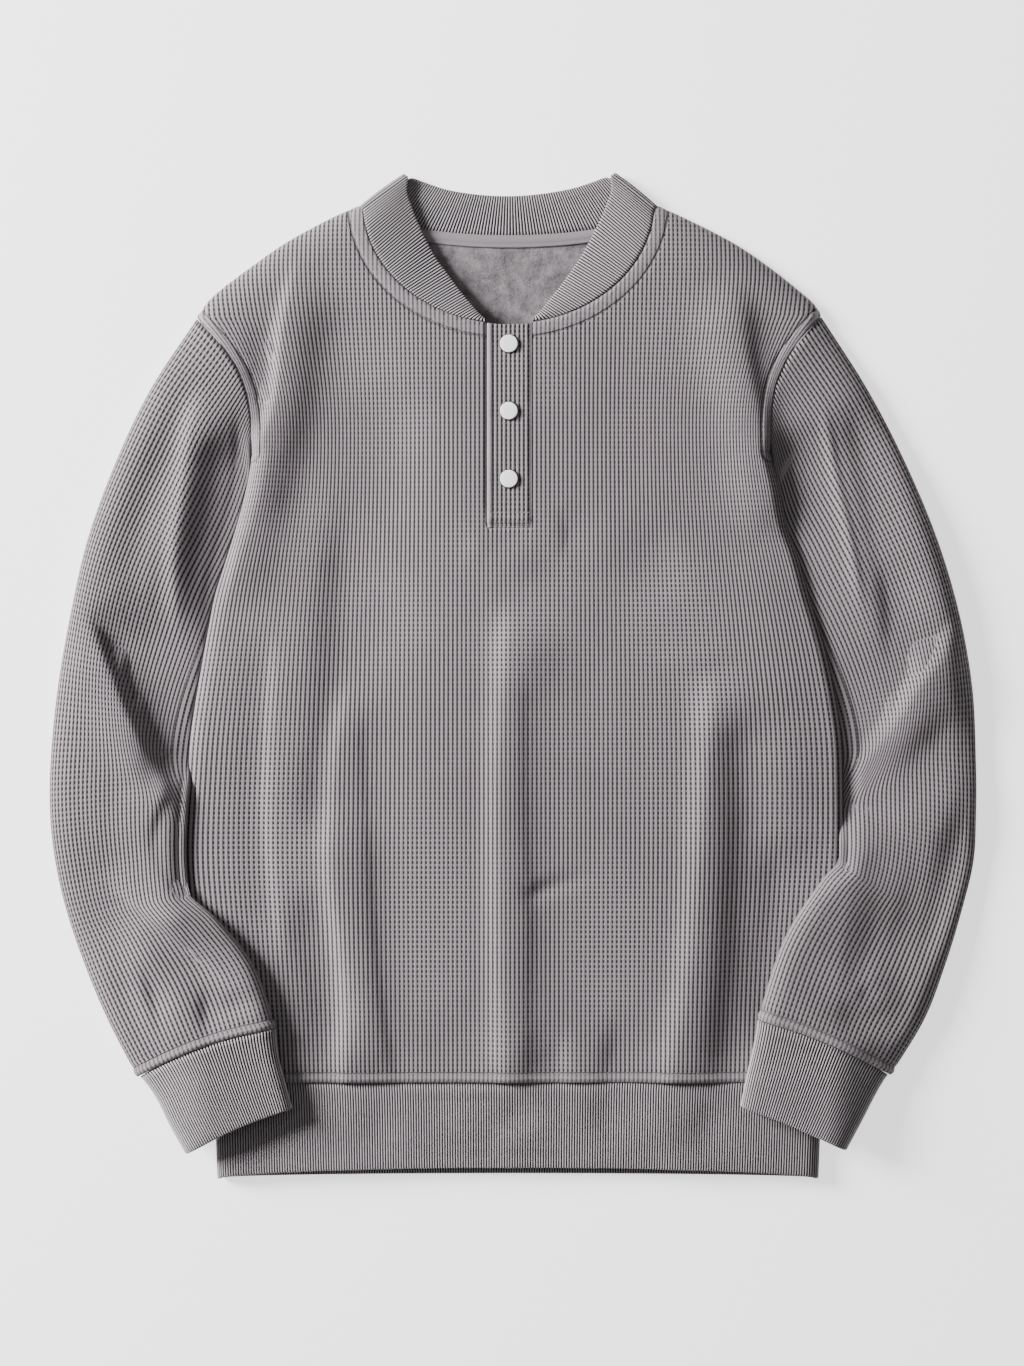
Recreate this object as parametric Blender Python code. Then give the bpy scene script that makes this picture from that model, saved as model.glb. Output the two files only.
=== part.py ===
"""A waffle-knit henley sweatshirt, laid out flat on its back.

Metres, +Z up. The floor is z = 0, +Y points to the collar and +X to the wearer's left sleeve.
The origin is under the middle of the shirt's outline. Every piece that is cut and sewn is one
closed wall between an outer and an inner grid of points. Both grids are worked out from the
sizes below and from short tables with one row for each section or fold.
"""
import math
from collections import namedtuple

import bmesh
import bpy
import numpy as np

# ---- driving sizes -------------------------------------------------------------------------
KNIT = 0.0022            # waffle knit with its brushed back
RIB = 0.0030             # ribbing, doubled
TAPE = 0.0009            # neck tape
SEAM_GAP = 0.0005        # between pieces sewn edge to edge
LAY_GAP = 0.0003         # between pieces that lie on each other
SEAM_LEVEL = KNIT + LAY_GAP   # height of the side seams, just above the back

NECK_X = -0.0032         # middle of the neck
NECK_TOP = 0.3409        # where the neck seam meets the shoulder
NECK_HALF = 0.1055       # half the width of the neck seam
NECK_FRONT = 0.0878      # depth of the front neck
NECK_BACK = 0.0230       # depth of the back neck

HEM_Y = -0.2934          # seam between the knit and the hem band
UNDERARM_Y = 0.1609
CROWN = 0.0105           # how far the front rises over its side seams
CROWN_CENTRE = 0.0020    # and a little more along its middle
SIDE_ROLL = 0.016        # width over which the front rolls down at its sides
SHOULDER_ROLL = 0.024
ARM_ROLL = 0.030
ARM_SEAM = math.hypot(0.04, 0.097)     # straight length of the armhole seam
SHOULDER_FALL = 0.83     # cosine of the shoulder line's slope
SHOULDER_SLOPE = 0.42    # slope of the shoulder line where it runs on over the neck
BODY_HALF = 0.22         # half width over which the front crowns
HEM_KEEP = 3             # the hem band keeps one part in three of the front's folds
FOLD_FADE = 0.030        # length over which a fold rises from its ends

PLACKET_RIGHT = -0.0187
PLACKET_LEFT = 0.0137
PLACKET_FOOT = 0.1069
PLACKET_PROUD = 0.0010   # how far the upper placket stands over the front
PLACKET_WALL = 0.0024
PLACKET_GAP = 0.0005

SNAP_X = -0.0029
SNAP_YS = (0.2387, 0.1904, 0.1415)
SNAP_RADIUS = 0.0070
SNAP_HEIGHT = 0.0018
SNAP_ROUND = 0.0005

HEM_FRONT_Y = -0.3550    # lower edge of the band's front at its middle
HEM_BACK_Y = -0.3606
HEM_SIDE_Y = -0.3640
HEM_HEIGHT = 0.0125
SLEEVE_CLEAR = 0.0022    # between the body and a sleeve that lies over it
BRIDGE = 0.030           # width over which a sleeve climbs on to the body
CROSSING_Y = {"right": -0.092, "left": -0.130}   # below it a sleeve lies over the body
CROSSING_RUN = 0.040
BESIDE_GAP = 0.0010      # between a sleeve and the body beside it
BESIDE_RUN = 0.020       # length below the underarm over which that gap opens

COLLAR_FOLD_RADIUS = 0.0046
COLLAR_FREE_LEVEL = 0.0092
COLLAR_SETTLE = (40, 40)     # degrees where the free edge starts to settle on the front, and run
NECK_TAPE_WIDTH = 0.0090

ROLL_ANGLES = (0.0, 24.0, 46.0, 68.0)   # degrees round a rolled edge

# ---- how finely the pieces are divided -----------------------------------------------------
NECK_STEP = 9            # degrees between the front's columns along the neck
SHOULDER_COLUMNS = 4
FRONT_LOWER_ROWS = 17
FRONT_UPPER_ROWS = 13
BACK_STEP = 18
BACK_SHOULDER_COLUMNS = 3
BACK_LOWER_ROWS = 10
BACK_UPPER_ROWS = 13
BACK_MIDDLE = 0.015
EVEN_BELOW = 0.02        # the body's columns stand evenly up to here
EVEN_RUN = 0.20
SLEEVE_ROWS = 23
RING_ABOVE = 11
RING_BELOW = 6
CUFF_ROWS = 5
CUFF_ABOVE = 9
HEM_ROWS = 4
HEM_ABOVE = 25
HEM_BELOW = 8
HEM_LEVEL = 0.0050
HEM_ROLL = 0.011
HEM_ARC = 0.45           # how quickly the band's edges arc in from the sides
NECK_GAP = 0.0006        # between the neck edge and the collar
SLOPE_STEP = 0.0003      # over which the front's slope is measured
SNAP_SIDES = 24
SMOOTH_BELOW = 50        # degrees between faces that are shaded as one surface
COLLAR_ROWS = 4
COLLAR_END_ANGLE = 80.5
COLLAR_FIRST_ANGLE = 11.0
COLLAR_FRONT_SECTIONS = 10
COLLAR_FOLD_ANGLES = (90, 60, 30, 0, -30, -60, -90)
COLLAR_BACK_ANGLE = 22
COLLAR_BACK_SECTIONS = 10
TAPE_ANGLE = 26
TAPE_SECTIONS = 11
PLACKET_COLUMNS = 4
PLACKET_ROWS = 9
UNDER_ROLL = 1.3         # a ring's lower roll, as a share of its turning height
UNDER_LEAST = 0.0012
ARM_BLEND = 1.0          # table rows over which a sleeve leaves the front's height

# ---- tables --------------------------------------------------------------------------------
SideRow = namedtuple("SideRow", "y right left")
SIDE_ROWS = [   # the body's side edges, from the underarm to the hem seam
    SideRow(0.161, -0.189, 0.186),
    SideRow(0.134, -0.194, 0.194),
    SideRow(0.108, -0.201, 0.199),
    SideRow(0.083, -0.209, 0.208),
    SideRow(0.058, -0.217, 0.215),
    SideRow(0.033, -0.222, 0.223),
    SideRow(0.011, -0.226, 0.229),
    SideRow(-0.018, -0.231, 0.235),
    SideRow(-0.046, -0.235, 0.239),
    SideRow(-0.075, -0.237, 0.240),
    SideRow(-0.126, -0.240, 0.240),
    SideRow(-0.162, -0.237, 0.237),
    SideRow(-0.205, -0.230, 0.231),
    SideRow(-0.248, -0.224, 0.228),
    SideRow(-0.293, -0.217, 0.224),
    SideRow(-0.365, -0.214, 0.221),
]

ShoulderPoint = namedtuple("ShoulderPoint", "x y")
SHOULDERS = {   # from the neck seam to the armhole
    "right": [ShoulderPoint(-0.1087, 0.3409), ShoulderPoint(-0.1310, 0.3316),
              ShoulderPoint(-0.1642, 0.3136), ShoulderPoint(-0.1901, 0.2956),
              ShoulderPoint(-0.2138, 0.2776), ShoulderPoint(-0.2246, 0.2660),
              ShoulderPoint(-0.2290, 0.2581)],
    "left": [ShoulderPoint(0.1022, 0.3409), ShoulderPoint(0.1238, 0.3316),
             ShoulderPoint(0.1591, 0.3136), ShoulderPoint(0.1858, 0.2956),
             ShoulderPoint(0.2085, 0.2776), ShoulderPoint(0.2190, 0.2680),
             ShoulderPoint(0.2232, 0.2596)],
}

TIP_Y = {side: points[-1].y for side, points in SHOULDERS.items()}

Section = namedtuple("Section", "in_x in_y out_x out_y bow height level roll")
SLEEVES = {     # rings from the armhole to the cuff: inner edge, outer edge and form
    "right": [
        Section(-0.1890, 0.1609, -0.2290, 0.2581, 0.0140, 0.0105, 0.0025, 0.030),
        Section(-0.1950, 0.1321, -0.2628, 0.2056, 0.0100, 0.0160, 0.0050, 0.022),
        Section(-0.2052, 0.0940, -0.2880, 0.1516, 0.0060, 0.0185, 0.0065, 0.018),
        Section(-0.2189, 0.0529, -0.3074, 0.0976, 0.0030, 0.0200, 0.0070, 0.018),
        Section(-0.2275, 0.0112, -0.3197, 0.0436, 0.0000, 0.0200, 0.0070, 0.018),
        Section(-0.2333, -0.0248, -0.3290, -0.0104, 0.0000, 0.0200, 0.0070, 0.018),
        Section(-0.2375, -0.0608, -0.3341, -0.0644, 0.0000, 0.0200, 0.0070, 0.018),
        Section(-0.2388, -0.0932, -0.3341, -0.1040, 0.0000, 0.0195, 0.0070, 0.018),
        Section(-0.2380, -0.1242, -0.3298, -0.1386, 0.0000, 0.0190, 0.0070, 0.018),
        Section(-0.2372, -0.1516, -0.3218, -0.1724, 0.0000, 0.0180, 0.0065, 0.017),
        Section(-0.2110, -0.1760, -0.3096, -0.2084, 0.0020, 0.0170, 0.0060, 0.016),
        Section(-0.1858, -0.2084, -0.2930, -0.2480, 0.0040, 0.0160, 0.0060, 0.015),
        Section(-0.1699, -0.2524, -0.2714, -0.2898, 0.0055, 0.0158, 0.0066, 0.014),
    ],
    "left": [
        Section(0.1860, 0.1609, 0.2232, 0.2596, 0.0140, 0.0105, 0.0025, 0.030),
        Section(0.1951, 0.1285, 0.2570, 0.2056, 0.0100, 0.0160, 0.0050, 0.022),
        Section(0.2052, 0.0925, 0.2844, 0.1516, 0.0060, 0.0185, 0.0065, 0.018),
        Section(0.2160, 0.0529, 0.3067, 0.0976, 0.0030, 0.0200, 0.0070, 0.018),
        Section(0.2268, 0.0112, 0.3226, 0.0436, 0.0000, 0.0200, 0.0070, 0.018),
        Section(0.2354, -0.0248, 0.3319, -0.0104, 0.0000, 0.0200, 0.0070, 0.018),
        Section(0.2398, -0.0572, 0.3344, -0.0644, 0.0000, 0.0200, 0.0070, 0.018),
        Section(0.2408, -0.0839, 0.3344, -0.1004, 0.0000, 0.0195, 0.0070, 0.018),
        Section(0.2425, -0.1076, 0.3326, -0.1343, 0.0000, 0.0190, 0.0070, 0.018),
        Section(0.2440, -0.1256, 0.3240, -0.1703, 0.0000, 0.0180, 0.0065, 0.017),
        Section(0.2210, -0.1487, 0.3125, -0.2084, 0.0020, 0.0170, 0.0060, 0.016),
        Section(0.1944, -0.1904, 0.2974, -0.2480, 0.0040, 0.0160, 0.0060, 0.015),
        Section(0.1757, -0.2466, 0.2729, -0.2884, 0.0040, 0.0158, 0.0066, 0.014),
    ],
}
CUFFS = {       # rings from the sleeve seam to the cuff's open end
    "right": [
        Section(-0.1706, -0.2532, -0.2684, -0.2893, 0.0055, 0.0145, 0.0068, 0.012),
        Section(-0.1682, -0.2732, -0.2570, -0.3050, 0.0045, 0.0140, 0.0066, 0.011),
        Section(-0.1632, -0.2927, -0.2470, -0.3240, 0.0035, 0.0140, 0.0066, 0.011),
        Section(-0.1584, -0.3100, -0.2347, -0.3440, 0.0028, 0.0140, 0.0066, 0.011),
    ],
    "left": [
        Section(0.1764, -0.2475, 0.2701, -0.2878, 0.0040, 0.0145, 0.0068, 0.012),
        Section(0.1721, -0.2696, 0.2621, -0.3006, 0.0032, 0.0140, 0.0066, 0.011),
        Section(0.1670, -0.2912, 0.2513, -0.3200, 0.0022, 0.0140, 0.0066, 0.011),
        Section(0.1634, -0.3092, 0.2390, -0.3412, 0.0016, 0.0140, 0.0066, 0.011),
    ],
}

CollarRow = namedtuple("CollarRow", "angle x y")
COLLAR_EDGE = {     # free edge of the collar's two fronts, by the angle along the neck seam
    "right": [CollarRow(0, -0.0785, 0.3632), CollarRow(10, -0.0767, 0.3503),
              CollarRow(20, -0.0724, 0.3370), CollarRow(30, -0.0659, 0.3215),
              CollarRow(40, -0.0569, 0.3042), CollarRow(50, -0.0468, 0.2898),
              CollarRow(60, -0.0374, 0.2768), CollarRow(70, -0.0280, 0.2653),
              CollarRow(80, -0.0207, 0.2575)],
    "left": [CollarRow(0, 0.0734, 0.3640), CollarRow(10, 0.0713, 0.3510),
             CollarRow(20, 0.0664, 0.3370), CollarRow(30, 0.0592, 0.3212),
             CollarRow(40, 0.0497, 0.3038), CollarRow(50, 0.0403, 0.2896),
             CollarRow(60, 0.0312, 0.2772), CollarRow(70, 0.0222, 0.2658),
             CollarRow(80, 0.0150, 0.2578)],
}
COLLAR_BACK_EDGE = [    # free edge of the collar's back, from the right fold to the left one
    CollarRow(0, -0.0785, 0.3632), CollarRow(30, -0.0684, 0.3590), CollarRow(60, -0.0418, 0.3508),
    CollarRow(90, -0.0029, 0.3474), CollarRow(120, 0.0360, 0.3515), CollarRow(150, 0.0626, 0.3594),
    CollarRow(180, 0.0734, 0.3640),
]

Fold = namedtuple("Fold", "name height west east path")
FRONT_FOLDS = [     # each path runs down the shirt; west and east are its half-widths
    Fold("shoulder fold, right side", 0.0040, 0.015, 0.020,
         [(-0.138, 0.303), (-0.151, 0.249), (-0.156, 0.198), (-0.171, 0.148), (-0.184, 0.090),
          (-0.193, 0.040)]),
    Fold("chest valley, right side", -0.0040, 0.014, 0.014,
         [(-0.134, 0.280), (-0.141, 0.240), (-0.152, 0.180), (-0.166, 0.130), (-0.176, 0.088)]),
    Fold("crease by the right armhole", -0.0040, 0.006, 0.006,
         [(-0.175, 0.270), (-0.176, 0.227), (-0.181, 0.191), (-0.186, 0.162)]),
    Fold("right side swell", 0.0025, 0.017, 0.017,
         [(-0.178, 0.040), (-0.182, -0.032), (-0.184, -0.090), (-0.180, -0.147), (-0.172, -0.210)]),
    Fold("right valley", -0.0040, 0.014, 0.015,
         [(-0.118, 0.148), (-0.127, 0.095), (-0.131, 0.040), (-0.134, -0.020), (-0.142, -0.075),
          (-0.148, -0.130)]),
    Fold("right pleat", 0.0042, 0.014, 0.014,
         [(-0.114, 0.010), (-0.126, -0.050), (-0.130, -0.100), (-0.129, -0.150), (-0.122, -0.210),
          (-0.119, -0.313)]),
    Fold("valley inside the right pleat", -0.0028, 0.012, 0.014,
         [(-0.108, -0.012), (-0.107, -0.062), (-0.103, -0.120), (-0.098, -0.200), (-0.090, -0.255),
          (-0.080, -0.313)]),
    Fold("centre pleat", 0.0030, 0.016, 0.012,
         [(-0.009, 0.060), (-0.014, -0.010), (-0.017, -0.060), (-0.018, -0.110), (-0.016, -0.200),
          (-0.012, -0.313)]),
    Fold("valley by the centre pleat", -0.0024, 0.009, 0.014,
         [(0.010, 0.020), (0.010, -0.060), (0.011, -0.110), (0.014, -0.170), (0.013, -0.230),
          (0.012, -0.313)]),
    Fold("centre pinch", -0.0018, 0.006, 0.006,
         [(0.026, -0.143), (0.018, -0.149), (0.012, -0.164), (0.013, -0.200)]),
    Fold("left pleat", 0.0052, 0.020, 0.014,
         [(0.135, 0.011), (0.130, -0.061), (0.125, -0.126), (0.119, -0.198), (0.110, -0.255),
          (0.100, -0.313)]),
    Fold("left valley", -0.0050, 0.013, 0.015,
         [(0.152, -0.010), (0.156, -0.060), (0.158, -0.120), (0.156, -0.200), (0.150, -0.255),
          (0.146, -0.313)]),
    Fold("shoulder fold, left side", 0.0045, 0.026, 0.014,
         [(0.134, 0.290), (0.144, 0.227), (0.154, 0.179), (0.163, 0.131), (0.173, 0.090)]),
    Fold("crease by the left armhole", -0.0045, 0.007, 0.006,
         [(0.170, 0.262), (0.176, 0.220), (0.182, 0.190), (0.186, 0.164)]),
    Fold("chest dent", -0.0016, 0.009, 0.009,
         [(0.098, 0.016), (0.127, 0.010), (0.166, 0.020)]),
    Fold("chest swell", 0.0018, 0.022, 0.022,
         [(0.106, 0.121), (0.111, 0.083), (0.125, 0.045)]),
    Fold("dent beside the placket", -0.0022, 0.008, 0.008,
         [(0.028, 0.125), (0.036, 0.100), (0.028, 0.080)]),
    Fold("dent under the placket", -0.0018, 0.016, 0.016,
         [(-0.004, 0.100), (0.002, 0.082), (0.004, 0.062)]),
    Fold("pull from the placket's foot", 0.0014, 0.006, 0.006,
         [(-0.021, 0.108), (-0.025, 0.094), (-0.027, 0.074)]),
    Fold("hem gather 1", 0.0012, 0.009, 0.009, [(-0.052, -0.225), (-0.048, -0.265), (-0.046, -0.313)]),
    Fold("hem gather 2", 0.0014, 0.010, 0.010, [(0.036, -0.245), (0.034, -0.275), (0.034, -0.313)]),
    Fold("hem gather 3", -0.0020, 0.008, 0.008, [(0.068, -0.234), (0.064, -0.270), (0.055, -0.313)]),
    Fold("hem gather 4", -0.0012, 0.008, 0.008, [(-0.165, -0.240), (-0.162, -0.275), (-0.160, -0.313)]),
]
SLEEVE_FOLDS = {
    "right": [
        Fold("long trough", -0.0034, 0.012, 0.016,
             [(-0.235, 0.232), (-0.247, 0.198), (-0.259, 0.164), (-0.274, 0.121), (-0.281, 0.083),
              (-0.281, 0.045), (-0.278, 0.016), (-0.271, -0.018)]),
        Fold("fold over the elbow", -0.0080, 0.007, 0.024,
             [(-0.281, 0.020), (-0.271, -0.015), (-0.258, -0.045), (-0.247, -0.072),
              (-0.238, -0.094)]),
        Fold("inner crest", 0.0030, 0.012, 0.014,
             [(-0.240, 0.213), (-0.249, 0.179), (-0.256, 0.131), (-0.261, 0.083), (-0.259, 0.035),
              (-0.252, 0.010)]),
        Fold("inner trough", -0.0028, 0.010, 0.010,
             [(-0.213, 0.203), (-0.211, 0.169), (-0.215, 0.131), (-0.226, 0.093), (-0.233, 0.059),
              (-0.236, 0.026)]),
        Fold("elbow swell", 0.0030, 0.032, 0.029,
             [(-0.303, -0.010), (-0.289, -0.061), (-0.276, -0.100), (-0.272, -0.133)]),
        Fold("elbow notch", -0.0060, 0.007, 0.007,
             [(-0.262, -0.108), (-0.256, -0.120), (-0.252, -0.136), (-0.244, -0.148)]),
        Fold("forearm crease", -0.0026, 0.008, 0.009,
             [(-0.296, -0.142), (-0.276, -0.160), (-0.250, -0.180), (-0.225, -0.198),
              (-0.196, -0.223)]),
        Fold("forearm crest", 0.0024, 0.010, 0.010,
             [(-0.270, -0.146), (-0.248, -0.166), (-0.222, -0.184), (-0.196, -0.206)]),
        Fold("cuff dent 1", -0.0024, 0.008, 0.008,
             [(-0.222, -0.218), (-0.225, -0.239), (-0.221, -0.262)]),
        Fold("cuff dent 2", -0.0020, 0.008, 0.008,
             [(-0.272, -0.200), (-0.262, -0.232), (-0.252, -0.266)]),
        Fold("cuff swell", 0.0016, 0.010, 0.010, [(-0.203, -0.223), (-0.200, -0.248)]),
    ],
    "left": [
        Fold("inner crest", 0.0034, 0.011, 0.014,
             [(0.222, 0.200), (0.232, 0.145), (0.241, 0.103), (0.249, 0.060), (0.252, 0.035)]),
        Fold("inner trough", -0.0030, 0.008, 0.010,
             [(0.238, 0.206), (0.248, 0.150), (0.256, 0.100), (0.264, 0.055), (0.270, 0.020)]),
        Fold("outer crest", 0.0030, 0.014, 0.012,
             [(0.272, 0.110), (0.280, 0.074), (0.288, 0.045), (0.285, 0.012)]),
        Fold("fold over the elbow", -0.0080, 0.024, 0.007,
             [(0.278, 0.020), (0.266, -0.018), (0.253, -0.045), (0.242, -0.066)]),
        Fold("elbow crest", 0.0030, 0.009, 0.026,
             [(0.292, 0.018), (0.280, -0.018), (0.264, -0.046), (0.252, -0.068)]),
        Fold("elbow crease", -0.0026, 0.010, 0.010,
             [(0.318, -0.010), (0.300, -0.039), (0.278, -0.062), (0.257, -0.078)]),
        Fold("elbow notch", -0.0050, 0.007, 0.007,
             [(0.261, -0.112), (0.250, -0.124), (0.240, -0.134)]),
        Fold("forearm trough", -0.0040, 0.012, 0.012,
             [(0.325, -0.090), (0.312, -0.123), (0.274, -0.162), (0.243, -0.183), (0.217, -0.201)]),
        Fold("cuff dent", -0.0022, 0.008, 0.008,
             [(0.246, -0.226), (0.244, -0.246), (0.240, -0.268)]),
        Fold("cuff swell", 0.0018, 0.012, 0.010, [(0.255, -0.218), (0.253, -0.240)]),
    ],
}

MATERIALS = {   # name: colour (linear), roughness
    "knit": ((0.295, 0.274, 0.286), 0.92),
    "fleece": ((0.345, 0.320, 0.334), 0.98),
    "rib": ((0.290, 0.272, 0.285), 0.90),
    "snap_cap": ((0.80, 0.80, 0.80), 0.35),
}


# ---- curves and forms ----------------------------------------------------------------------
def smooth(rows, count):
    """Rows read evenly from a Catmull-Rom curve through the given rows."""
    points = np.array(rows, dtype=float)
    ends = 2 * points[0] - points[1], 2 * points[-1] - points[-2]
    padded = np.vstack([ends[0], points, ends[1]])
    place = np.linspace(0, len(points) - 1, count)
    first = np.minimum(place.astype(int), len(points) - 2)
    part = (place - first)[:, None]
    a, b, c, d = (padded[first + step] for step in range(4))
    slope = (c - a) * part
    bend = (2 * a - 5 * b + 4 * c - d) * part ** 2
    twist = (3 * b - a - 3 * c + d) * part ** 3
    return 0.5 * (2 * b + slope + bend + twist)


def ease(value):
    """0 to 1 with flat ends."""
    value = np.clip(value, 0, 1)
    return value * value * (3 - 2 * value)


def rolled(distance, radius):
    """Quarter round: 0 at an edge, 1 from `radius` inside it."""
    part = 1 - np.clip(distance / radius, 0, 1)
    return np.sqrt(np.maximum(1 - part * part, 0))


def fold_relief(folds, x, y):
    """Height that the folds add at each x, y."""
    relief = np.zeros_like(x)
    for fold in folds:
        path = smooth(fold.path, 4 * len(fold.path))
        runs = np.diff(path, axis=0)
        sizes = np.hypot(runs[:, 0], runs[:, 1])
        starts = np.concatenate([[0], np.cumsum(sizes)])
        nearest = np.full(x.shape, np.inf)
        across = np.zeros_like(x)
        along = np.zeros_like(x)
        for start, run, size, travelled in zip(path, runs, sizes, starts):
            share = np.clip(((x - start[0]) * run[0] + (y - start[1]) * run[1]) / size ** 2, 0, 1)
            off_x = x - start[0] - share * run[0]
            off_y = y - start[1] - share * run[1]
            away = np.hypot(off_x, off_y)
            closer = away < nearest
            nearest = np.where(closer, away, nearest)
            across = np.where(closer, run[0] * off_y - run[1] * off_x, across)
            along = np.where(closer, travelled + share * size, along)
        width = np.where(across > 0, fold.east, fold.west)
        ends = ease(np.minimum(along, starts[-1] - along) / min(FOLD_FADE, starts[-1] / 2))
        relief += fold.height * np.exp(-(nearest / width) ** 2) * ends
    return relief


def armhole(side, share):
    """Point of the armhole seam, from 0 at the underarm to 1 at the shoulder."""
    first = SLEEVES[side][0]
    return bowed((first.in_x, first.in_y), (first.out_x, first.out_y), first.bow, share)


def bowed(start, end, bow, share):
    """Point at `share` of a line that bows away from the hand."""
    run_x, run_y = end[0] - start[0], end[1] - start[1]
    size = math.hypot(run_x, run_y)
    turn = 1 if run_x < 0 else -1
    lift = bow * np.sin(math.pi * share)
    x = start[0] + run_x * share + turn * lift * run_y / size
    y = start[1] + run_y * share - turn * lift * run_x / size
    return x, y


def side_edge(side, y):
    """X of the body's edge at each y, down the armhole and then the side."""
    share = np.linspace(0, 1, 60)
    arm_x, arm_y = armhole(side, share)
    rows = smooth([(row.y, getattr(row, side)) for row in SIDE_ROWS], 120)
    below = rows[:, 0] < UNDERARM_Y - 0.001
    ys = np.concatenate([rows[below, 0][::-1], arm_y])
    xs = np.concatenate([rows[below, 1][::-1], arm_x])
    return np.interp(y, ys, xs)


def armhole_share(side, y):
    """How far along the armhole seam a height y lies, 0 below it."""
    share = np.linspace(0, 1, 60)
    return np.interp(y, armhole(side, share)[1], share)


def shoulder_y(x):
    """The shoulder line, and its straight continuation over the neck."""
    right = smooth(SHOULDERS["right"], 40)[::-1]
    left = smooth(SHOULDERS["left"], 40)
    middle = np.array([[NECK_X, NECK_TOP + SHOULDER_SLOPE * NECK_HALF]])
    line = np.vstack([right, middle, left])
    return np.interp(x, line[:, 0], line[:, 1])


def neck_y(x, depth):
    """The neck seam: half an ellipse below the shoulder level."""
    part = np.clip((x - NECK_X) / NECK_HALF, -1, 1)
    return NECK_TOP - depth * np.sqrt(1 - part * part)


def rise(x, y):
    """0 where the front meets the back, 1 where it lies fully over it."""
    total = np.ones_like(x)
    for side, sign in (("right", 1), ("left", -1)):
        share = armhole_share(side, y)
        at_edge = rolled(np.minimum(share, 1 - share) * ARM_SEAM, ARM_ROLL)
        inside = sign * (x - side_edge(side, y)) - SEAM_GAP
        total = total * (at_edge + (1 - at_edge) * rolled(inside, SIDE_ROLL))
    return total * rolled((shoulder_y(x) - y) * SHOULDER_FALL, SHOULDER_ROLL)


def crown(x, y):
    """Height of the front over its seams, with its folds."""
    middle = 1 - np.clip(np.abs(x) / BODY_HALF, 0, 1) ** 2
    return CROWN + CROWN_CENTRE * middle + fold_relief(FRONT_FOLDS, x, y)


def front_top(x, y):
    """Outer surface of the front."""
    return SEAM_LEVEL + crown(x, y) * rise(x, y)


def band_top(x):
    """Outer surface of the hem band, over which the front's folds run out."""
    y = np.full_like(x, HEM_Y)
    return HEM_HEIGHT + fold_relief(FRONT_FOLDS, x, y) / HEM_KEEP


def crossing(side, y):
    """0 where a sleeve lies beside the body, 1 where it lies over it."""
    return ease((CROSSING_Y[side] + CROSSING_RUN - y) / CROSSING_RUN)


def under_sleeve(side, x, y):
    """What a sleeve or cuff lies on: the floor, or the body and its hem band."""
    inside = (x - side_edge(side, y)) * (1 if side == "right" else -1)
    climb = ease((inside + BRIDGE) / BRIDGE)
    body = SEAM_LEVEL + crown(x, np.maximum(y, HEM_Y))
    level = np.maximum(body, band_top(x)) + SLEEVE_CLEAR
    return crossing(side, y) * climb * level


# ---- mesh tools ----------------------------------------------------------------------------
def wall(name, outer, inner, around=False, keep=None):
    """One closed solid between two grids of points, with rims along every open edge."""
    rows, columns = outer.shape[:2]
    across = columns if around else columns - 1
    kept = np.ones((rows - 1, across), bool) if keep is None else keep
    shape = bmesh.new()
    skins = []
    for grid in (outer, inner):
        skins.append([[shape.verts.new(point) for point in row] for row in grid])
    used = {}
    for row in range(rows - 1):
        for column in range(across):
            if not kept[row, column]:
                continue
            after = (column + 1) % columns
            corners = [(row, column), (row, after), (row + 1, after), (row + 1, column)]
            add_halves(shape, skins, corners)
            for start, end in zip(corners, corners[1:] + corners[:1]):
                if (end, start) in used:
                    del used[(end, start)]
                else:
                    used[(start, end)] = True
    for start, end in used:
        rim = [skins[0][end[0]][end[1]], skins[0][start[0]][start[1]],
               skins[1][start[0]][start[1]], skins[1][end[0]][end[1]]]
        shape.faces.new(rim)
    loose = [vert for vert in shape.verts if not vert.link_faces]
    bmesh.ops.delete(shape, geom=loose, context="VERTS")
    return finish(name, shape)


def add_halves(shape, skins, corners):
    """Two triangles on each skin, split the same way so that the skins can't cross."""
    points = [skins[0][row][column].co for row, column in corners]
    turned = (points[0] - points[2]).length > (points[1] - points[3]).length
    a, b, c, d = corners[1:] + corners[:1] if turned else corners
    for half in ((a, b, c), (a, c, d)):
        shape.faces.new([skins[0][row][column] for row, column in half])
        shape.faces.new([skins[1][row][column] for row, column in reversed(half)])


def finish(name, shape):
    """Turn the faces out and make the object."""
    bmesh.ops.recalc_face_normals(shape, faces=shape.faces)
    if shape.calc_volume(signed=True) < 0:
        bmesh.ops.reverse_faces(shape, faces=shape.faces)
    mesh = bpy.data.meshes.new(name)
    shape.to_mesh(mesh)
    shape.free()
    mesh.shade_smooth()
    mesh.set_sharp_from_angle(angle=math.radians(SMOOTH_BELOW))
    piece = bpy.data.objects.new(name, mesh)
    bpy.context.scene.collection.children["henley_shirt"].objects.link(piece)
    return piece


def paint(piece, material):
    colour, roughness = MATERIALS[material]
    made = bpy.data.materials.get(material)
    if made is None:
        made = bpy.data.materials.new(material)
        made.use_nodes = True
        shader = made.node_tree.nodes["Principled BSDF"]
        shader.inputs["Base Color"].default_value = (*colour, 1)
        shader.inputs["Roughness"].default_value = roughness
        made.diffuse_color = (*colour, 1)
    piece.data.materials.append(made)


def stack(x, y, z):
    return np.stack([x, y, z], axis=-1)


def between(start, end, count):
    """Shares from start to end, without the two ends."""
    return list(np.linspace(start, end, count + 2)[1:-1])


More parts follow.
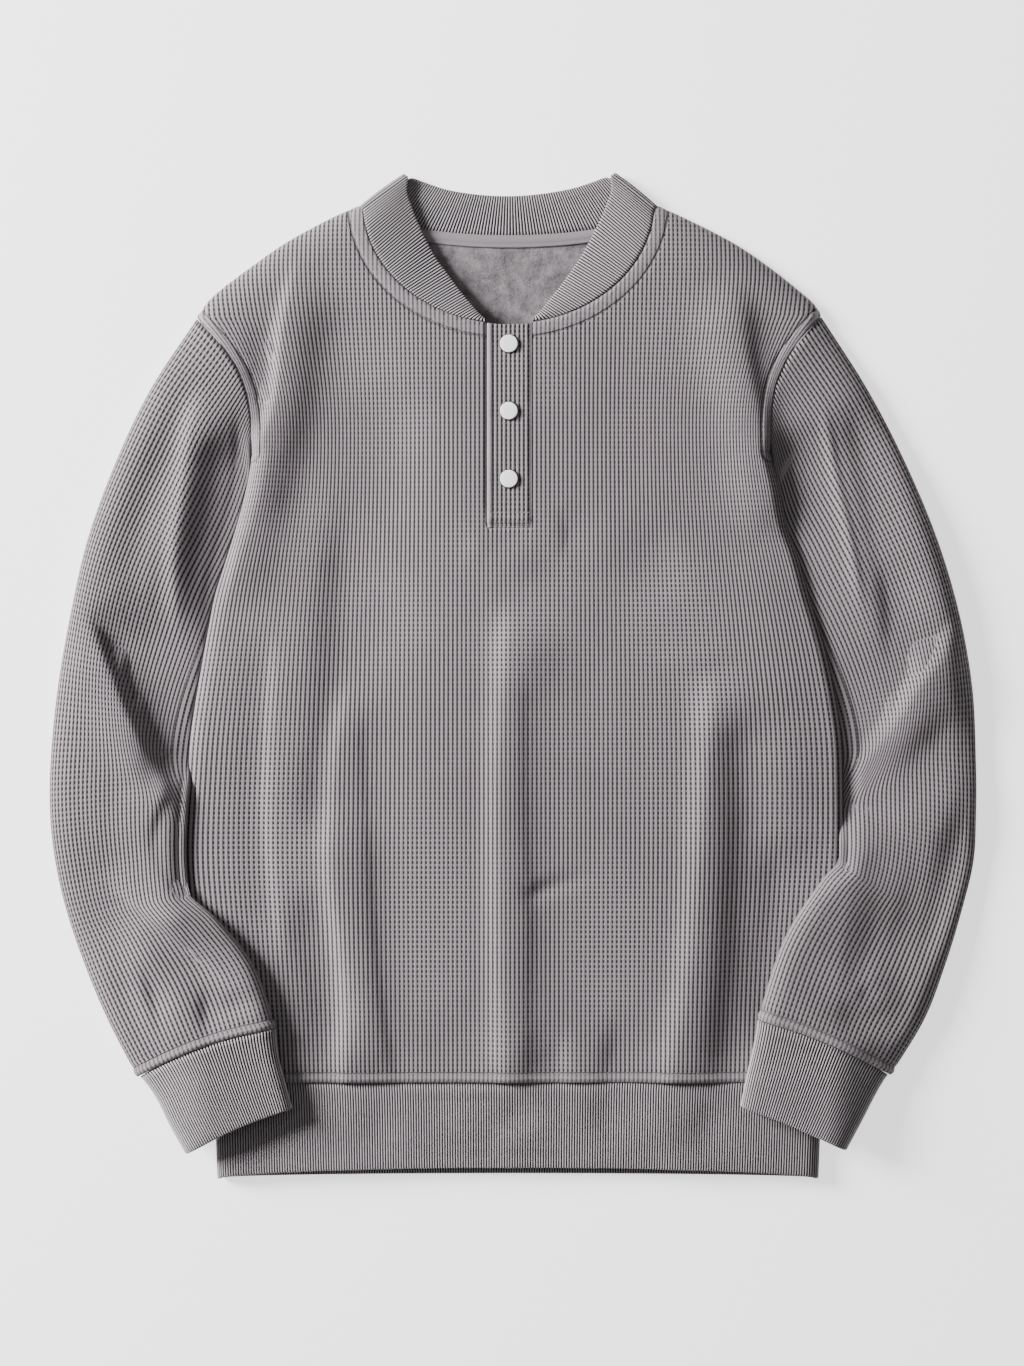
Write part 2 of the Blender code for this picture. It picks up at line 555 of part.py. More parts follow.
# ---- grids ---------------------------------------------------------------------------------
def under_front(x, y):
    """The front's inner skin: its outer surface moved in by the knit's thickness."""
    step = SLOPE_STEP
    slope_x = (front_top(x + step, y) - front_top(x - step, y)) / (2 * step)
    slope_y = (front_top(x, y + step) - front_top(x, y - step)) / (2 * step)
    size = np.sqrt(slope_x ** 2 + slope_y ** 2 + 1)
    z = np.maximum(front_top(x, y) - KNIT / size, SEAM_LEVEL)
    x, y = x + KNIT * slope_x / size, y + KNIT * slope_y / size
    y = np.maximum(y, HEM_Y + SEAM_GAP / 2)
    part = np.clip((NECK_TOP - y) / NECK_FRONT, -1, 1)
    reach = NECK_HALF * np.sqrt(1 - part ** 2)
    x = NECK_X + np.sign(x - NECK_X) * np.maximum(np.abs(x - NECK_X), reach * (y < NECK_TOP))
    return stack(x, y, z)


def half_columns(side, rolls, slit, step, shoulder_columns):
    """One side's columns, from its edge to the slit: their place at the top, and a function
    that gives their X at each y."""
    sign = -1 if side == "right" else 1
    tip = side_edge(side, np.array([TIP_Y[side]]))[0] - sign * (SEAM_GAP + rolls[-1])
    last = math.degrees(math.acos(abs(slit - NECK_X) / NECK_HALF))
    angles = np.linspace(0, last, round(last / step) + 1)
    corner = NECK_X + sign * NECK_HALF
    tops = [tip + sign * (rolls[-1] - roll) for roll in rolls]
    tops += between(tip, corner, shoulder_columns)
    tops += [NECK_X + sign * NECK_HALF * math.cos(math.radians(angle)) for angle in angles]
    total = shoulder_columns + len(angles)

    def place(column, y):
        edge = side_edge(side, np.minimum(y, TIP_Y[side])) - sign * SEAM_GAP
        if column < len(rolls):
            return edge - sign * rolls[column]
        start = edge - sign * rolls[-1]
        number = column - len(rolls) + 1
        close = ease((y - EVEN_BELOW) / EVEN_RUN)
        first = max(number, shoulder_columns + 1)
        even = start + (slit - start) * first / total
        aim = tops[len(rolls) + first - 1]
        x = even + (aim - even) * close
        return start + (x - start) * number / first

    return tops, place


def column_ys(x_top, depth, lower, upper, roll):
    """Rows up one column, from the hem to the shoulder or the neck."""
    over_neck = abs(x_top - NECK_X) < NECK_HALF - 1e-6
    end = float(neck_y(x_top, depth) if over_neck else shoulder_y(x_top))
    low = np.linspace(HEM_Y + SEAM_GAP / 2, PLACKET_FOOT - PLACKET_GAP, lower)
    tops = [end - roll * (1 - math.cos(math.radians(angle))) for angle in reversed(ROLL_ANGLES)]
    high = np.linspace(low[-1], tops[0], upper - len(tops) + 2)[1:-1]
    return np.concatenate([low, high, tops])


def body_grid(depth, rolls, slits, step, shoulder_columns, middle, lower, upper, roll):
    """X and y of a body panel's points."""
    columns = []
    for side in ("right", "left"):
        tops, place = half_columns(side, rolls, slits[side], step, shoulder_columns)
        half = []
        for column, x_top in enumerate(tops):
            y = column_ys(x_top, depth, lower, upper, roll)
            half.append((place(column, y), y))
        columns.append(half)
    inside = []
    for share in between(0, 1, middle):
        x_top = slits["right"] + share * (slits["left"] - slits["right"])
        y = column_ys(x_top, depth, lower, upper, roll)
        inside.append((np.full_like(y, x_top), y))
    ordered = columns[0] + inside + columns[1][::-1]
    x = np.stack([column[0] for column in ordered], axis=1)
    y = np.stack([column[1] for column in ordered], axis=1)
    return x, y


def ring(start, end, bow, level, roll, above, below, inset):
    """Points round one flattened ring: x, y, how far each has risen or fallen from the ring's
    turning edges, which ones are on top, and their share of the way across."""
    width = math.hypot(end[0] - start[0], end[1] - start[1])
    angles = np.radians(ROLL_ANGLES)
    edge = (inset + (roll - inset) * (1 - np.cos(angles))) / width
    flat = list(np.linspace(roll / width, 1 - roll / width, above))
    top = list(edge) + flat + list(1 - edge[::-1])
    top_lift = list(np.sin(angles)) + [1.0] * above + list(np.sin(angles[::-1]))
    under_roll = max(min(level * UNDER_ROLL, roll), inset + UNDER_LEAST)
    edge = (inset + (under_roll - inset) * (1 - np.cos(angles[1:]))) / width
    flat = list(np.linspace(1 - under_roll / width, under_roll / width, below))
    bottom = list(1 - edge) + flat + list(edge[::-1])
    bottom_lift = list(np.sin(angles[1:])) + [1.0] * below + list(np.sin(angles[1:][::-1]))
    share = np.array(top + bottom)
    lift = np.array(top_lift + bottom_lift)
    upper = np.array([True] * len(top) + [False] * len(bottom))
    x, y = bowed(start, end, bow, share)
    return x, y, lift, upper, share


def arm_grid(side, sections, rows, above, below, folds, blend, inset):
    """Points of a sleeve or cuff, its inner skin when inset by the wall's thickness.
    `blend` joins the first rings to the front's height."""
    grid = []
    sign = -1 if side == "right" else 1
    for place, row in enumerate(smooth(sections, rows)):
        section = Section(*row)
        start = (section.in_x, section.in_y)
        end = (section.out_x, section.out_y)
        x, y, lift, upper, _ = ring(start, end, section.bow, section.level, section.roll,
                                    above, below, inset)
        gap = BESIDE_GAP * ease((UNDERARM_Y - y) / BESIDE_RUN) + inset
        limit = side_edge(side, y) + sign * gap
        outside = np.maximum(x * sign, limit * sign) * sign
        x = np.where(crossing(side, y) < 1, outside, x)
        base = under_sleeve(side, x, y)
        height = section.height + fold_relief(folds, x, y)
        crest = base + height
        if blend:
            joined = ease(place / (rows - 1) * (len(sections) - 1) / ARM_BLEND)
            seam = SEAM_LEVEL + crown(x, y)
            crest = seam + (crest - seam) * joined
        turn = base + section.level
        top = turn + (crest - inset - turn) * lift
        bottom = turn - (section.level - inset) * lift
        grid.append(stack(x, y, np.where(upper, top, bottom)))
    return np.array(grid)


# ---- pieces --------------------------------------------------------------------------------
def make_front():
    slits = {"right": PLACKET_RIGHT - PLACKET_GAP, "left": PLACKET_LEFT + PLACKET_GAP}
    rolls = [SIDE_ROLL * (1 - math.cos(math.radians(angle))) for angle in ROLL_ANGLES]
    x, y = body_grid(NECK_FRONT, rolls + [SIDE_ROLL], slits, NECK_STEP, SHOULDER_COLUMNS, 2,
                     FRONT_LOWER_ROWS, FRONT_UPPER_ROWS, SHOULDER_ROLL)
    outer = stack(x, y, front_top(x, y))
    inner = under_front(x, y)
    kept = np.ones((x.shape[0] - 1, x.shape[1] - 1), bool)
    slit = [c for c in range(x.shape[1] - 1)
            if x[-1, c] > slits["right"] - 1e-5 and x[-1, c + 1] < slits["left"] + 1e-5]
    kept[FRONT_LOWER_ROWS - 1:, slit[0]:slit[-1] + 1] = False
    paint(wall("front_panel", outer, inner, keep=kept), "knit")


def make_back():
    slits = {"right": NECK_X - BACK_MIDDLE, "left": NECK_X + BACK_MIDDLE}
    x, y = body_grid(NECK_BACK, [0.0], slits, BACK_STEP, BACK_SHOULDER_COLUMNS, 1,
                     BACK_LOWER_ROWS, BACK_UPPER_ROWS, SHOULDER_ROLL)
    outer = stack(x, y, np.full_like(x, KNIT))
    inner = stack(x, y, np.zeros_like(x))
    paint(wall("back_panel", outer, inner), "fleece")


def make_sleeve(side):
    outer, inner = (arm_grid(side, SLEEVES[side], SLEEVE_ROWS, RING_ABOVE, RING_BELOW,
                             SLEEVE_FOLDS[side], True, inset) for inset in (0.0, KNIT))
    paint(wall("sleeve_" + side, outer, inner, around=True), "knit")


def make_cuff(side):
    outer, inner = (arm_grid(side, CUFFS[side], CUFF_ROWS, CUFF_ABOVE, RING_BELOW, [], False,
                             inset) for inset in (0.0, RIB))
    paint(wall("cuff_" + side, outer, inner, around=True), "rib")


def hem_grid(inset):
    """The band's points: its front half arcs up more than its back half."""
    grid = []
    start_y = HEM_Y - SEAM_GAP / 2
    for share_down in np.linspace(0, 1, HEM_ROWS):
        side_y = start_y + (HEM_SIDE_Y - start_y) * share_down
        right, left = (float(side_edge(side, np.array([side_y]))[0]) for side in ("right", "left"))
        x, y, lift, upper, share = ring((right + SEAM_GAP, side_y), (left - SEAM_GAP, side_y),
                                        0.0, HEM_LEVEL, HEM_ROLL, HEM_ABOVE, HEM_BELOW, inset)
        arc = np.sin(math.pi * share) ** HEM_ARC * share_down
        y = y + arc * (np.where(upper, HEM_FRONT_Y, HEM_BACK_Y) - HEM_SIDE_Y)
        top = HEM_LEVEL + (band_top(x) - inset - HEM_LEVEL) * lift
        bottom = HEM_LEVEL - (HEM_LEVEL - inset) * lift
        grid.append(stack(x, y, np.where(upper, top, bottom)))
    return np.array(grid)


def make_hem_band():
    paint(wall("hem_band", hem_grid(0.0), hem_grid(RIB), around=True), "rib")


def collar_sections():
    """Seam point, free edge and outward direction of each section round the collar."""
    sections = []
    half, front = NECK_HALF - NECK_GAP, NECK_FRONT - NECK_GAP
    corners = {}
    for side, sign in (("right", -1), ("left", 1)):
        edge = smooth([(row.angle, row.x, row.y) for row in COLLAR_EDGE[side]], 60)
        angles = np.linspace(COLLAR_END_ANGLE, COLLAR_FIRST_ANGLE, COLLAR_FRONT_SECTIONS)
        seam_x = NECK_X + sign * half * np.cos(np.radians(angles))
        seam_y = NECK_TOP - front * np.sin(np.radians(angles))
        free_x = np.interp(angles, edge[:, 0], edge[:, 1])
        free_y = np.interp(angles, edge[:, 0], edge[:, 2])
        seam_z = front_top(seam_x, seam_y)
        settle = ease((angles - COLLAR_SETTLE[0]) / COLLAR_SETTLE[1])
        free_z = COLLAR_FREE_LEVEL + (seam_z - COLLAR_FREE_LEVEL) * settle
        up = np.array([0.0, 0.0, 1.0])
        run = [((a, b, c), (d, e, f), up) for a, b, c, d, e, f in
               zip(seam_x, seam_y, seam_z, free_x, free_y, free_z)]
        corner = np.array([NECK_X + sign * NECK_HALF, NECK_TOP])
        tip = np.array(COLLAR_EDGE[side][0][1:])
        along = (tip - corner) / np.linalg.norm(tip - corner)
        corner = corner + along * NECK_GAP
        out = np.array([along[1], -along[0]]) * sign
        if out[1] < 0:
            out = -out
        fold = []
        for angle in COLLAR_FOLD_ANGLES:
            back = out * COLLAR_FOLD_RADIUS * (math.cos(math.radians(angle)) - 1)
            z = COLLAR_FOLD_RADIUS * (1 + math.sin(math.radians(angle)))
            normal = np.array([*(out * math.cos(math.radians(angle))),
                               math.sin(math.radians(angle))])
            fold.append(((*(corner + back), z), (*(tip + back), z), normal))
        corners[side] = run + fold
    down = np.array([0.0, 0.0, -1.0])
    edge = smooth([(row.angle, row.x, row.y) for row in COLLAR_BACK_EDGE], 60)
    back = []
    for angle in np.linspace(COLLAR_BACK_ANGLE, 180 - COLLAR_BACK_ANGLE, COLLAR_BACK_SECTIONS):
        seam = (NECK_X - half * math.cos(math.radians(angle)),
                NECK_TOP + NECK_GAP - NECK_BACK * math.sin(math.radians(angle)), 0.0)
        free = (np.interp(angle, edge[:, 0], edge[:, 1]), np.interp(angle, edge[:, 0], edge[:, 2]),
                0.0)
        back.append((seam, free, down))
    return corners["right"] + back + corners["left"][::-1]


def make_collar():
    outer, inner = [], []
    for seam, free, normal in collar_sections():
        seam, free = np.array(seam), np.array(free)
        line = [seam + (free - seam) * share for share in np.linspace(0, 1, COLLAR_ROWS)]
        outer.append(line)
        inner.append([point - normal * RIB for point in line])
    paint(wall("collar", np.array(outer), np.array(inner)), "rib")


def make_neck_tape():
    """The tape inside the back neck, just under the collar's seam."""
    outer, inner = [], []
    for angle in np.linspace(TAPE_ANGLE, 180 - TAPE_ANGLE, TAPE_SECTIONS):
        x = NECK_X - NECK_HALF * math.cos(math.radians(angle))
        top = NECK_TOP - NECK_BACK * math.sin(math.radians(angle)) - NECK_GAP
        ends = [(x, top, 0), (x, top - NECK_TAPE_WIDTH, 0)]
        low = KNIT + LAY_GAP
        inner.append([np.array(point) + (0, 0, low) for point in ends])
        outer.append([np.array(point) + (0, 0, low + TAPE) for point in ends])
    paint(wall("neck_tape", np.array(outer), np.array(inner)), "rib")


def make_placket(name, right, left, top_level, thickness, material):
    """A strip that follows the front, moved out or in from its surface."""
    x = np.linspace(right, left, PLACKET_COLUMNS)
    rows = []
    for share in np.linspace(0, 1, PLACKET_ROWS):
        end = neck_y(x, NECK_FRONT) - PLACKET_GAP
        y = PLACKET_FOOT + (end - PLACKET_FOOT) * share
        rows.append(stack(x, y, front_top(x, y) + top_level))
    outer = np.array(rows)
    inner = outer - np.array([0, 0, thickness])
    paint(wall(name, outer, inner), material)


def make_snap(number, y):
    """A flat snap cap with a rounded rim."""
    shape = bmesh.new()
    bmesh.ops.create_cone(shape, cap_ends=True, segments=SNAP_SIDES, radius1=SNAP_RADIUS,
                          radius2=SNAP_RADIUS, depth=SNAP_HEIGHT)
    rim = [edge for edge in shape.edges
           if all(vert.co.z > 0 for vert in edge.verts) and len(edge.link_faces) == 2]
    bmesh.ops.bevel(shape, geom=rim, offset=SNAP_ROUND, segments=2, affect="EDGES", profile=0.5)
    spread = np.linspace(-SNAP_RADIUS, SNAP_RADIUS, 9)
    x, near = np.meshgrid(SNAP_X + spread, y + spread)
    seat = float(front_top(x, near).max()) + PLACKET_PROUD + LAY_GAP
    piece = finish(f"snap_{number}", shape)
    piece.location = (SNAP_X, y, seat + SNAP_HEIGHT / 2)
    paint(piece, "snap_cap")


def main():
    for old in list(bpy.data.objects):
        bpy.data.objects.remove(old)
    garment = bpy.data.collections.new("henley_shirt")
    bpy.context.scene.collection.children.link(garment)
    make_back()
    make_front()
    for side in ("right", "left"):
        make_sleeve(side)
        make_cuff(side)
    make_hem_band()
    make_collar()
    make_neck_tape()
    make_placket("placket_upper", PLACKET_RIGHT, PLACKET_LEFT - PLACKET_GAP / 2,
                 PLACKET_PROUD, PLACKET_WALL, "rib")
    make_placket("placket_under", PLACKET_RIGHT, PLACKET_LEFT - PLACKET_GAP / 2,
                 PLACKET_PROUD - PLACKET_WALL - LAY_GAP, KNIT, "knit")
    for number, y in enumerate(SNAP_YS, start=1):
        make_snap(number, y)


main()
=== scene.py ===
"""The looks of a waffle-knit henley sweatshirt that lies flat on its back.

Metres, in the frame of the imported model: the floor is z = 0, +Y points to the collar and +X to
the wearer's left sleeve. Only the tables of folds are in millimetres. Each cloth piece repeats the
form of its CAD solid from the same sizes and tables, finer: its columns run along the knit's
ribs, and its points rise on the ribs and sink in the waffle's pits. A UV map named "cloth"
counts ribs across and cells along, and the materials read it for the knit's shading.
"""

import math
from collections import namedtuple

import bpy
import numpy as np
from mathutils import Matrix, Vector
from mathutils.geometry import tessellate_polygon


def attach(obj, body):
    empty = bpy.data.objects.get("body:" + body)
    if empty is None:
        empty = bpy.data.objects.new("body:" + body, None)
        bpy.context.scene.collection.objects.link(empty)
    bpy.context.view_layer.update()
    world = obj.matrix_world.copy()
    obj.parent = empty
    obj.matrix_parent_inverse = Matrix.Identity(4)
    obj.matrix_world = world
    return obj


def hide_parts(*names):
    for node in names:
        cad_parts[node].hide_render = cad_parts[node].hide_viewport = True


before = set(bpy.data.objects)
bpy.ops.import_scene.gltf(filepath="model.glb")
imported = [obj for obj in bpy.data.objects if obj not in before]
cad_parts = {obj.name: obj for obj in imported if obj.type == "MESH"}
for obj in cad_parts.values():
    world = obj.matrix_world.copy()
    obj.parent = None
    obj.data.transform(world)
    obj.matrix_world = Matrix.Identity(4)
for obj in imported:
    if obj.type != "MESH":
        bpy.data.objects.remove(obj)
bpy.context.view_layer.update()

INWARD = {"right": 1, "left": -1}   # the direction along X from a side to the middle

# ---- driving sizes -------------------------------------------------------------------------
KNIT = 0.0022            # waffle knit with its brushed back
RIB = 0.0030             # ribbing, doubled
TAPE = 0.0009            # neck tape
SEAM_GAP = 0.0005        # between pieces sewn edge to edge
LAY_GAP = 0.0003         # between pieces that lie on each other
SEAM_LEVEL = KNIT + LAY_GAP   # height of the side seams, just above the back

NECK_X = -0.0032         # middle of the neck
NECK_TOP = 0.3409        # where the neck seam meets the shoulder
NECK_HALF = 0.1055       # half the width of the neck seam
NECK_FRONT = 0.0878      # depth of the front neck
NECK_BACK = 0.0230       # depth of the back neck

HEM_Y = -0.2934          # seam between the knit and the hem band
UNDERARM_Y = 0.1609
CROWN = 0.0105           # how far the front rises over its side seams
CROWN_CENTRE = 0.0020    # and a little more along its middle
SIDE_ROLL = {"right": 0.014, "left": 0.009}   # width over which the front rolls down there
SHOULDER_ROLL = 0.024    # and at its shoulders
ARM_ROLL = 0.030         # and at its armholes
ARM_SEAM = math.hypot(0.04, 0.097)     # straight length of the armhole seam
SHOULDER_FALL = 0.83     # cosine of the shoulder line's slope
SHOULDER_SLOPE = 0.42    # slope of the shoulder line where it runs on over the neck
BODY_HALF = 0.22         # half width over which the front crowns
HEM_KEEP = 3             # the hem band keeps one part in three of the front's folds
FOLD_FADE = 0.045        # length over which a fold rises from its ends
FOLD_LIMITS = {          # folds that cross stay inside these heights
    "body": (-0.0072, 0.0095),
    "sleeve": (-0.0140, 0.0095),
    "hem": (-0.0040, 0.0040),
}

PLACKET_RIGHT = -0.0187
PLACKET_LEFT = 0.0137
PLACKET_FOOT = 0.1069
PLACKET_PROUD = 0.0010   # how far the upper placket stands over the front
PLACKET_WALL = 0.0024
PLACKET_GAP = 0.0005
FOLDED_EDGE = 0.0030     # width of the placket's folded edge, which shows no rib
EDGE_SINK = 0.0015       # how far the front sinks along it
EDGE_WIDTH = 0.0011      # how wide it sinks
EDGE_RUN = 0.02          # and over what length from the placket's foot it starts to

SNAP_X = -0.0029
SNAP_YS = (0.2387, 0.1904, 0.1415)
SNAP_RADIUS = 0.0070
SNAP_FACE = 0.0064       # past it the snap's dark socket shows
SNAP_SINK = 0.0002       # how far a snap sinks into the placket
SNAP_SIDES = 64
SNAP_MARKS = 9           # places each way under a snap where the front's height is read
SNAP_CELL = 0.01         # size of one cell of its material

HEM_FRONT_Y = -0.3550    # lower edge of the band's front at its middle
HEM_BACK_Y = -0.3606
HEM_SIDE_Y = -0.3640
HEM_HEIGHT = 0.0125
HEM_LEVEL = 0.0050
HEM_ROLL = 0.011
HEM_ARC = 0.45           # how quickly the band's edges arc in from the sides

SLEEVE_GIRTH = 0.2250
SLEEVE_FORM = (0.098, 0.018, 0.019, 0.007)     # width, roll, height and level of a usual ring
CUFF_GIRTH = 0.196
CUFF_FORM = (0.090, 0.011, 0.014, 0.0066)
HEM_GIRTH = 0.889
HEM_FORM = (0.440, HEM_ROLL, HEM_HEIGHT, HEM_LEVEL)
UNDER_ROLL = 1.3         # a ring's lower roll, as a share of its turning height
UNDER_LEAST = 0.0012
LEAN = 0.10              # share of a sleeve's girth by which its ribs run outwards
LEAN_SHARE = 0.20        # and about how much of its width that is
LEAN_START = 1.2         # row of the sleeve's table from which they run outwards
LEAN_BACK = 2.0          # rows over which they come back past the fold over the elbow
ELBOW_SHARES = (0.0, 0.1, 0.35, 0.6, 1.0)      # where that fold lies across the sleeve
ELBOW_ROWS = (6.7, 6.1, 5.2, 4.4, 3.6)         # and in rows of the table
ARM_BLEND = 1.0          # table rows over which a sleeve leaves the front's height
SLEEVE_CLEAR = 0.0022    # between the body and a sleeve that lies over it
BRIDGE = 0.055           # width over which a sleeve climbs on to the body
CROSSING_Y = {"right": -0.092, "left": -0.130}   # below it a sleeve lies over the body
CROSSING_RUN = 0.040
BESIDE_GAP = -0.0012     # a sleeve laps over the seam edge of the body beside it
CLOSE_LAP = 0.0050       # a sleeve's inner edge reaches so far past the body's edge
CLOSE_END = {"right": -0.172, "left": -0.160}    # down to which it does
CLOSE_RUN = 0.025        # and over what length it stops
INNER_SHARE = 0.45       # the share of a sleeve's width that lies low beside the body
INNER_DROP = 0.50        # and how much lower its edge is there
BESIDE_RUN = 0.020       # length below the underarm over which the lap begins

NECK_GAP = 0.0006        # between the neck edge and the collar
COLLAR_FOLD_RADIUS = 0.0046
COLLAR_FREE_LEVEL = 0.0092   # height of the free edge at the shoulders
COLLAR_SETTLE = (40, 40)     # degrees where it starts to settle on the front, and its run
COLLAR_TUCK = 0.0030     # how far the folded sides of the collar reach under the shoulders
COLLAR_END_ANGLE = 80.5  # degrees round the neck where a front ends beside the placket
COLLAR_FIRST_ANGLE = 11.0    # and where it leaves the fold at the shoulder
COLLAR_FRONT_SECTIONS = 10
COLLAR_FOLD_ANGLES = (90, 60, 30, 0, -30, -60, -90)
COLLAR_BACK_ANGLE = 22
COLLAR_BACK_SECTIONS = 10
COLLAR_DENSE = 1600      # places along the collar from which its ribs are read
COLLAR_PUFF = 0.0007     # how far the collar swells between its seam and its fold
NECK_TAPE_WIDTH = 0.0090
TAPE_ANGLE = 26
TAPE_TUCK = 0.0008       # the tape reaches so far under the collar
TAPE_CROWN = 0.0004
TAPE_GROOVE = 0.0006     # depth of its two stitched lines
TAPE_LINES = (0.125, 0.75)   # their shares of its width
TAPE_LINE_WIDTH = 0.08
TAPE_YARN = 0.0012       # length of one cell of its material
TAPE_CELLS = 7           # and how many lie across it
TAPE_POINTS, TAPE_ROWS = 90, 9
TAPE_ROUND = 0.6         # a power below 1 makes it rise steeply at its edges
SLOPE_STEP = 0.0003      # over which the front's slope is measured

# ---- tables --------------------------------------------------------------------------------
def rows_of(kind, rows):
    """A table's rows with named columns."""
    return [kind(*row) for row in rows]


def fold_rows(rows):
    """Folds in metres, from rows in millimetres."""
    return [Fold(name, height / 1000, west / 1000, east / 1000, np.array(path) / 1000)
            for name, height, west, east, path in rows]


SideRow = namedtuple("SideRow", "y right left")
SIDE_ROWS = rows_of(SideRow, [   # the body's side edges, from the underarm to the hem seam
    (0.161, -0.189, 0.186),
    (0.134, -0.194, 0.194),
    (0.108, -0.201, 0.199),
    (0.083, -0.209, 0.208),
    (0.058, -0.217, 0.215),
    (0.033, -0.222, 0.223),
    (0.011, -0.226, 0.229),
    (-0.018, -0.231, 0.235),
    (-0.046, -0.235, 0.239),
    (-0.075, -0.237, 0.240),
    (-0.126, -0.240, 0.240),
    (-0.162, -0.237, 0.237),
    (-0.205, -0.230, 0.231),
    (-0.248, -0.224, 0.228),
    (-0.293, -0.217, 0.224),
    (-0.365, -0.214, 0.221),
])

ShoulderPoint = namedtuple("ShoulderPoint", "x y")
SHOULDERS = {   # from the neck seam to the armhole
    "right": rows_of(ShoulderPoint, [
        (-0.1087, 0.3409), (-0.1310, 0.3316), (-0.1642, 0.3136), (-0.1901, 0.2956),
        (-0.2138, 0.2776), (-0.2246, 0.2660), (-0.2290, 0.2581),
    ]),
    "left": rows_of(ShoulderPoint, [
        (0.1022, 0.3409), (0.1238, 0.3316), (0.1591, 0.3136), (0.1858, 0.2956),
        (0.2085, 0.2776), (0.2190, 0.2680), (0.2232, 0.2596),
    ]),
}
TIP_Y = {side: points[-1].y for side, points in SHOULDERS.items()}

Section = namedtuple("Section", "in_x in_y out_x out_y bow height level roll")
SLEEVES = {     # rings from the armhole to the cuff: inner edge, outer edge and form
    "right": rows_of(Section, [
        (-0.1890, 0.1609, -0.2290, 0.2581, 0.0140, 0.0105, 0.0025, 0.030),
        (-0.1950, 0.1321, -0.2628, 0.2056, 0.0100, 0.0160, 0.0050, 0.022),
        (-0.2052, 0.0940, -0.2880, 0.1516, 0.0060, 0.0185, 0.0065, 0.018),
        (-0.2189, 0.0529, -0.3074, 0.0976, 0.0030, 0.0200, 0.0070, 0.018),
        (-0.2275, 0.0112, -0.3197, 0.0436, 0.0000, 0.0200, 0.0070, 0.018),
        (-0.2333, -0.0248, -0.3290, -0.0104, 0.0000, 0.0200, 0.0070, 0.018),
        (-0.2375, -0.0608, -0.3341, -0.0644, 0.0000, 0.0200, 0.0070, 0.018),
        (-0.2388, -0.0932, -0.3341, -0.1040, 0.0000, 0.0195, 0.0070, 0.018),
        (-0.2380, -0.1242, -0.3298, -0.1386, 0.0000, 0.0190, 0.0070, 0.018),
        (-0.2372, -0.1516, -0.3218, -0.1724, 0.0000, 0.0180, 0.0065, 0.017),
        (-0.2110, -0.1760, -0.3096, -0.2084, 0.0020, 0.0170, 0.0060, 0.016),
        (-0.1858, -0.2084, -0.2930, -0.2480, 0.0040, 0.0160, 0.0060, 0.015),
        (-0.1699, -0.2524, -0.2714, -0.2898, 0.0055, 0.0158, 0.0066, 0.014),
    ]),
    "left": rows_of(Section, [
        (0.1860, 0.1609, 0.2232, 0.2596, 0.0140, 0.0105, 0.0025, 0.030),
        (0.1951, 0.1285, 0.2570, 0.2056, 0.0100, 0.0160, 0.0050, 0.022),
        (0.2052, 0.0925, 0.2844, 0.1516, 0.0060, 0.0185, 0.0065, 0.018),
        (0.2160, 0.0529, 0.3067, 0.0976, 0.0030, 0.0200, 0.0070, 0.018),
        (0.2268, 0.0112, 0.3226, 0.0436, 0.0000, 0.0200, 0.0070, 0.018),
        (0.2354, -0.0248, 0.3319, -0.0104, 0.0000, 0.0200, 0.0070, 0.018),
        (0.2398, -0.0572, 0.3344, -0.0644, 0.0000, 0.0200, 0.0070, 0.018),
        (0.2408, -0.0839, 0.3344, -0.1004, 0.0000, 0.0195, 0.0070, 0.018),
        (0.2425, -0.1076, 0.3326, -0.1343, 0.0000, 0.0190, 0.0070, 0.018),
        (0.2440, -0.1256, 0.3240, -0.1703, 0.0000, 0.0180, 0.0065, 0.017),
        (0.2210, -0.1487, 0.3125, -0.2084, 0.0020, 0.0170, 0.0060, 0.016),
        (0.1944, -0.1904, 0.2974, -0.2480, 0.0040, 0.0160, 0.0060, 0.015),
        (0.1757, -0.2466, 0.2729, -0.2884, 0.0040, 0.0158, 0.0066, 0.014),
    ]),
}
CUFFS = {       # rings from the sleeve seam to the cuff's open end
    "right": rows_of(Section, [
        (-0.1706, -0.2532, -0.2684, -0.2893, 0.0055, 0.0145, 0.0068, 0.012),
        (-0.1682, -0.2732, -0.2570, -0.3050, 0.0045, 0.0140, 0.0066, 0.011),
        (-0.1632, -0.2927, -0.2470, -0.3240, 0.0035, 0.0140, 0.0066, 0.011),
        (-0.1584, -0.3100, -0.2347, -0.3440, 0.0028, 0.0140, 0.0066, 0.011),
    ]),
    "left": rows_of(Section, [
        (0.1764, -0.2475, 0.2701, -0.2878, 0.0040, 0.0145, 0.0068, 0.012),
        (0.1721, -0.2696, 0.2621, -0.3006, 0.0032, 0.0140, 0.0066, 0.011),
        (0.1670, -0.2912, 0.2513, -0.3200, 0.0022, 0.0140, 0.0066, 0.011),
        (0.1634, -0.3092, 0.2390, -0.3412, 0.0016, 0.0140, 0.0066, 0.011),
    ]),
}

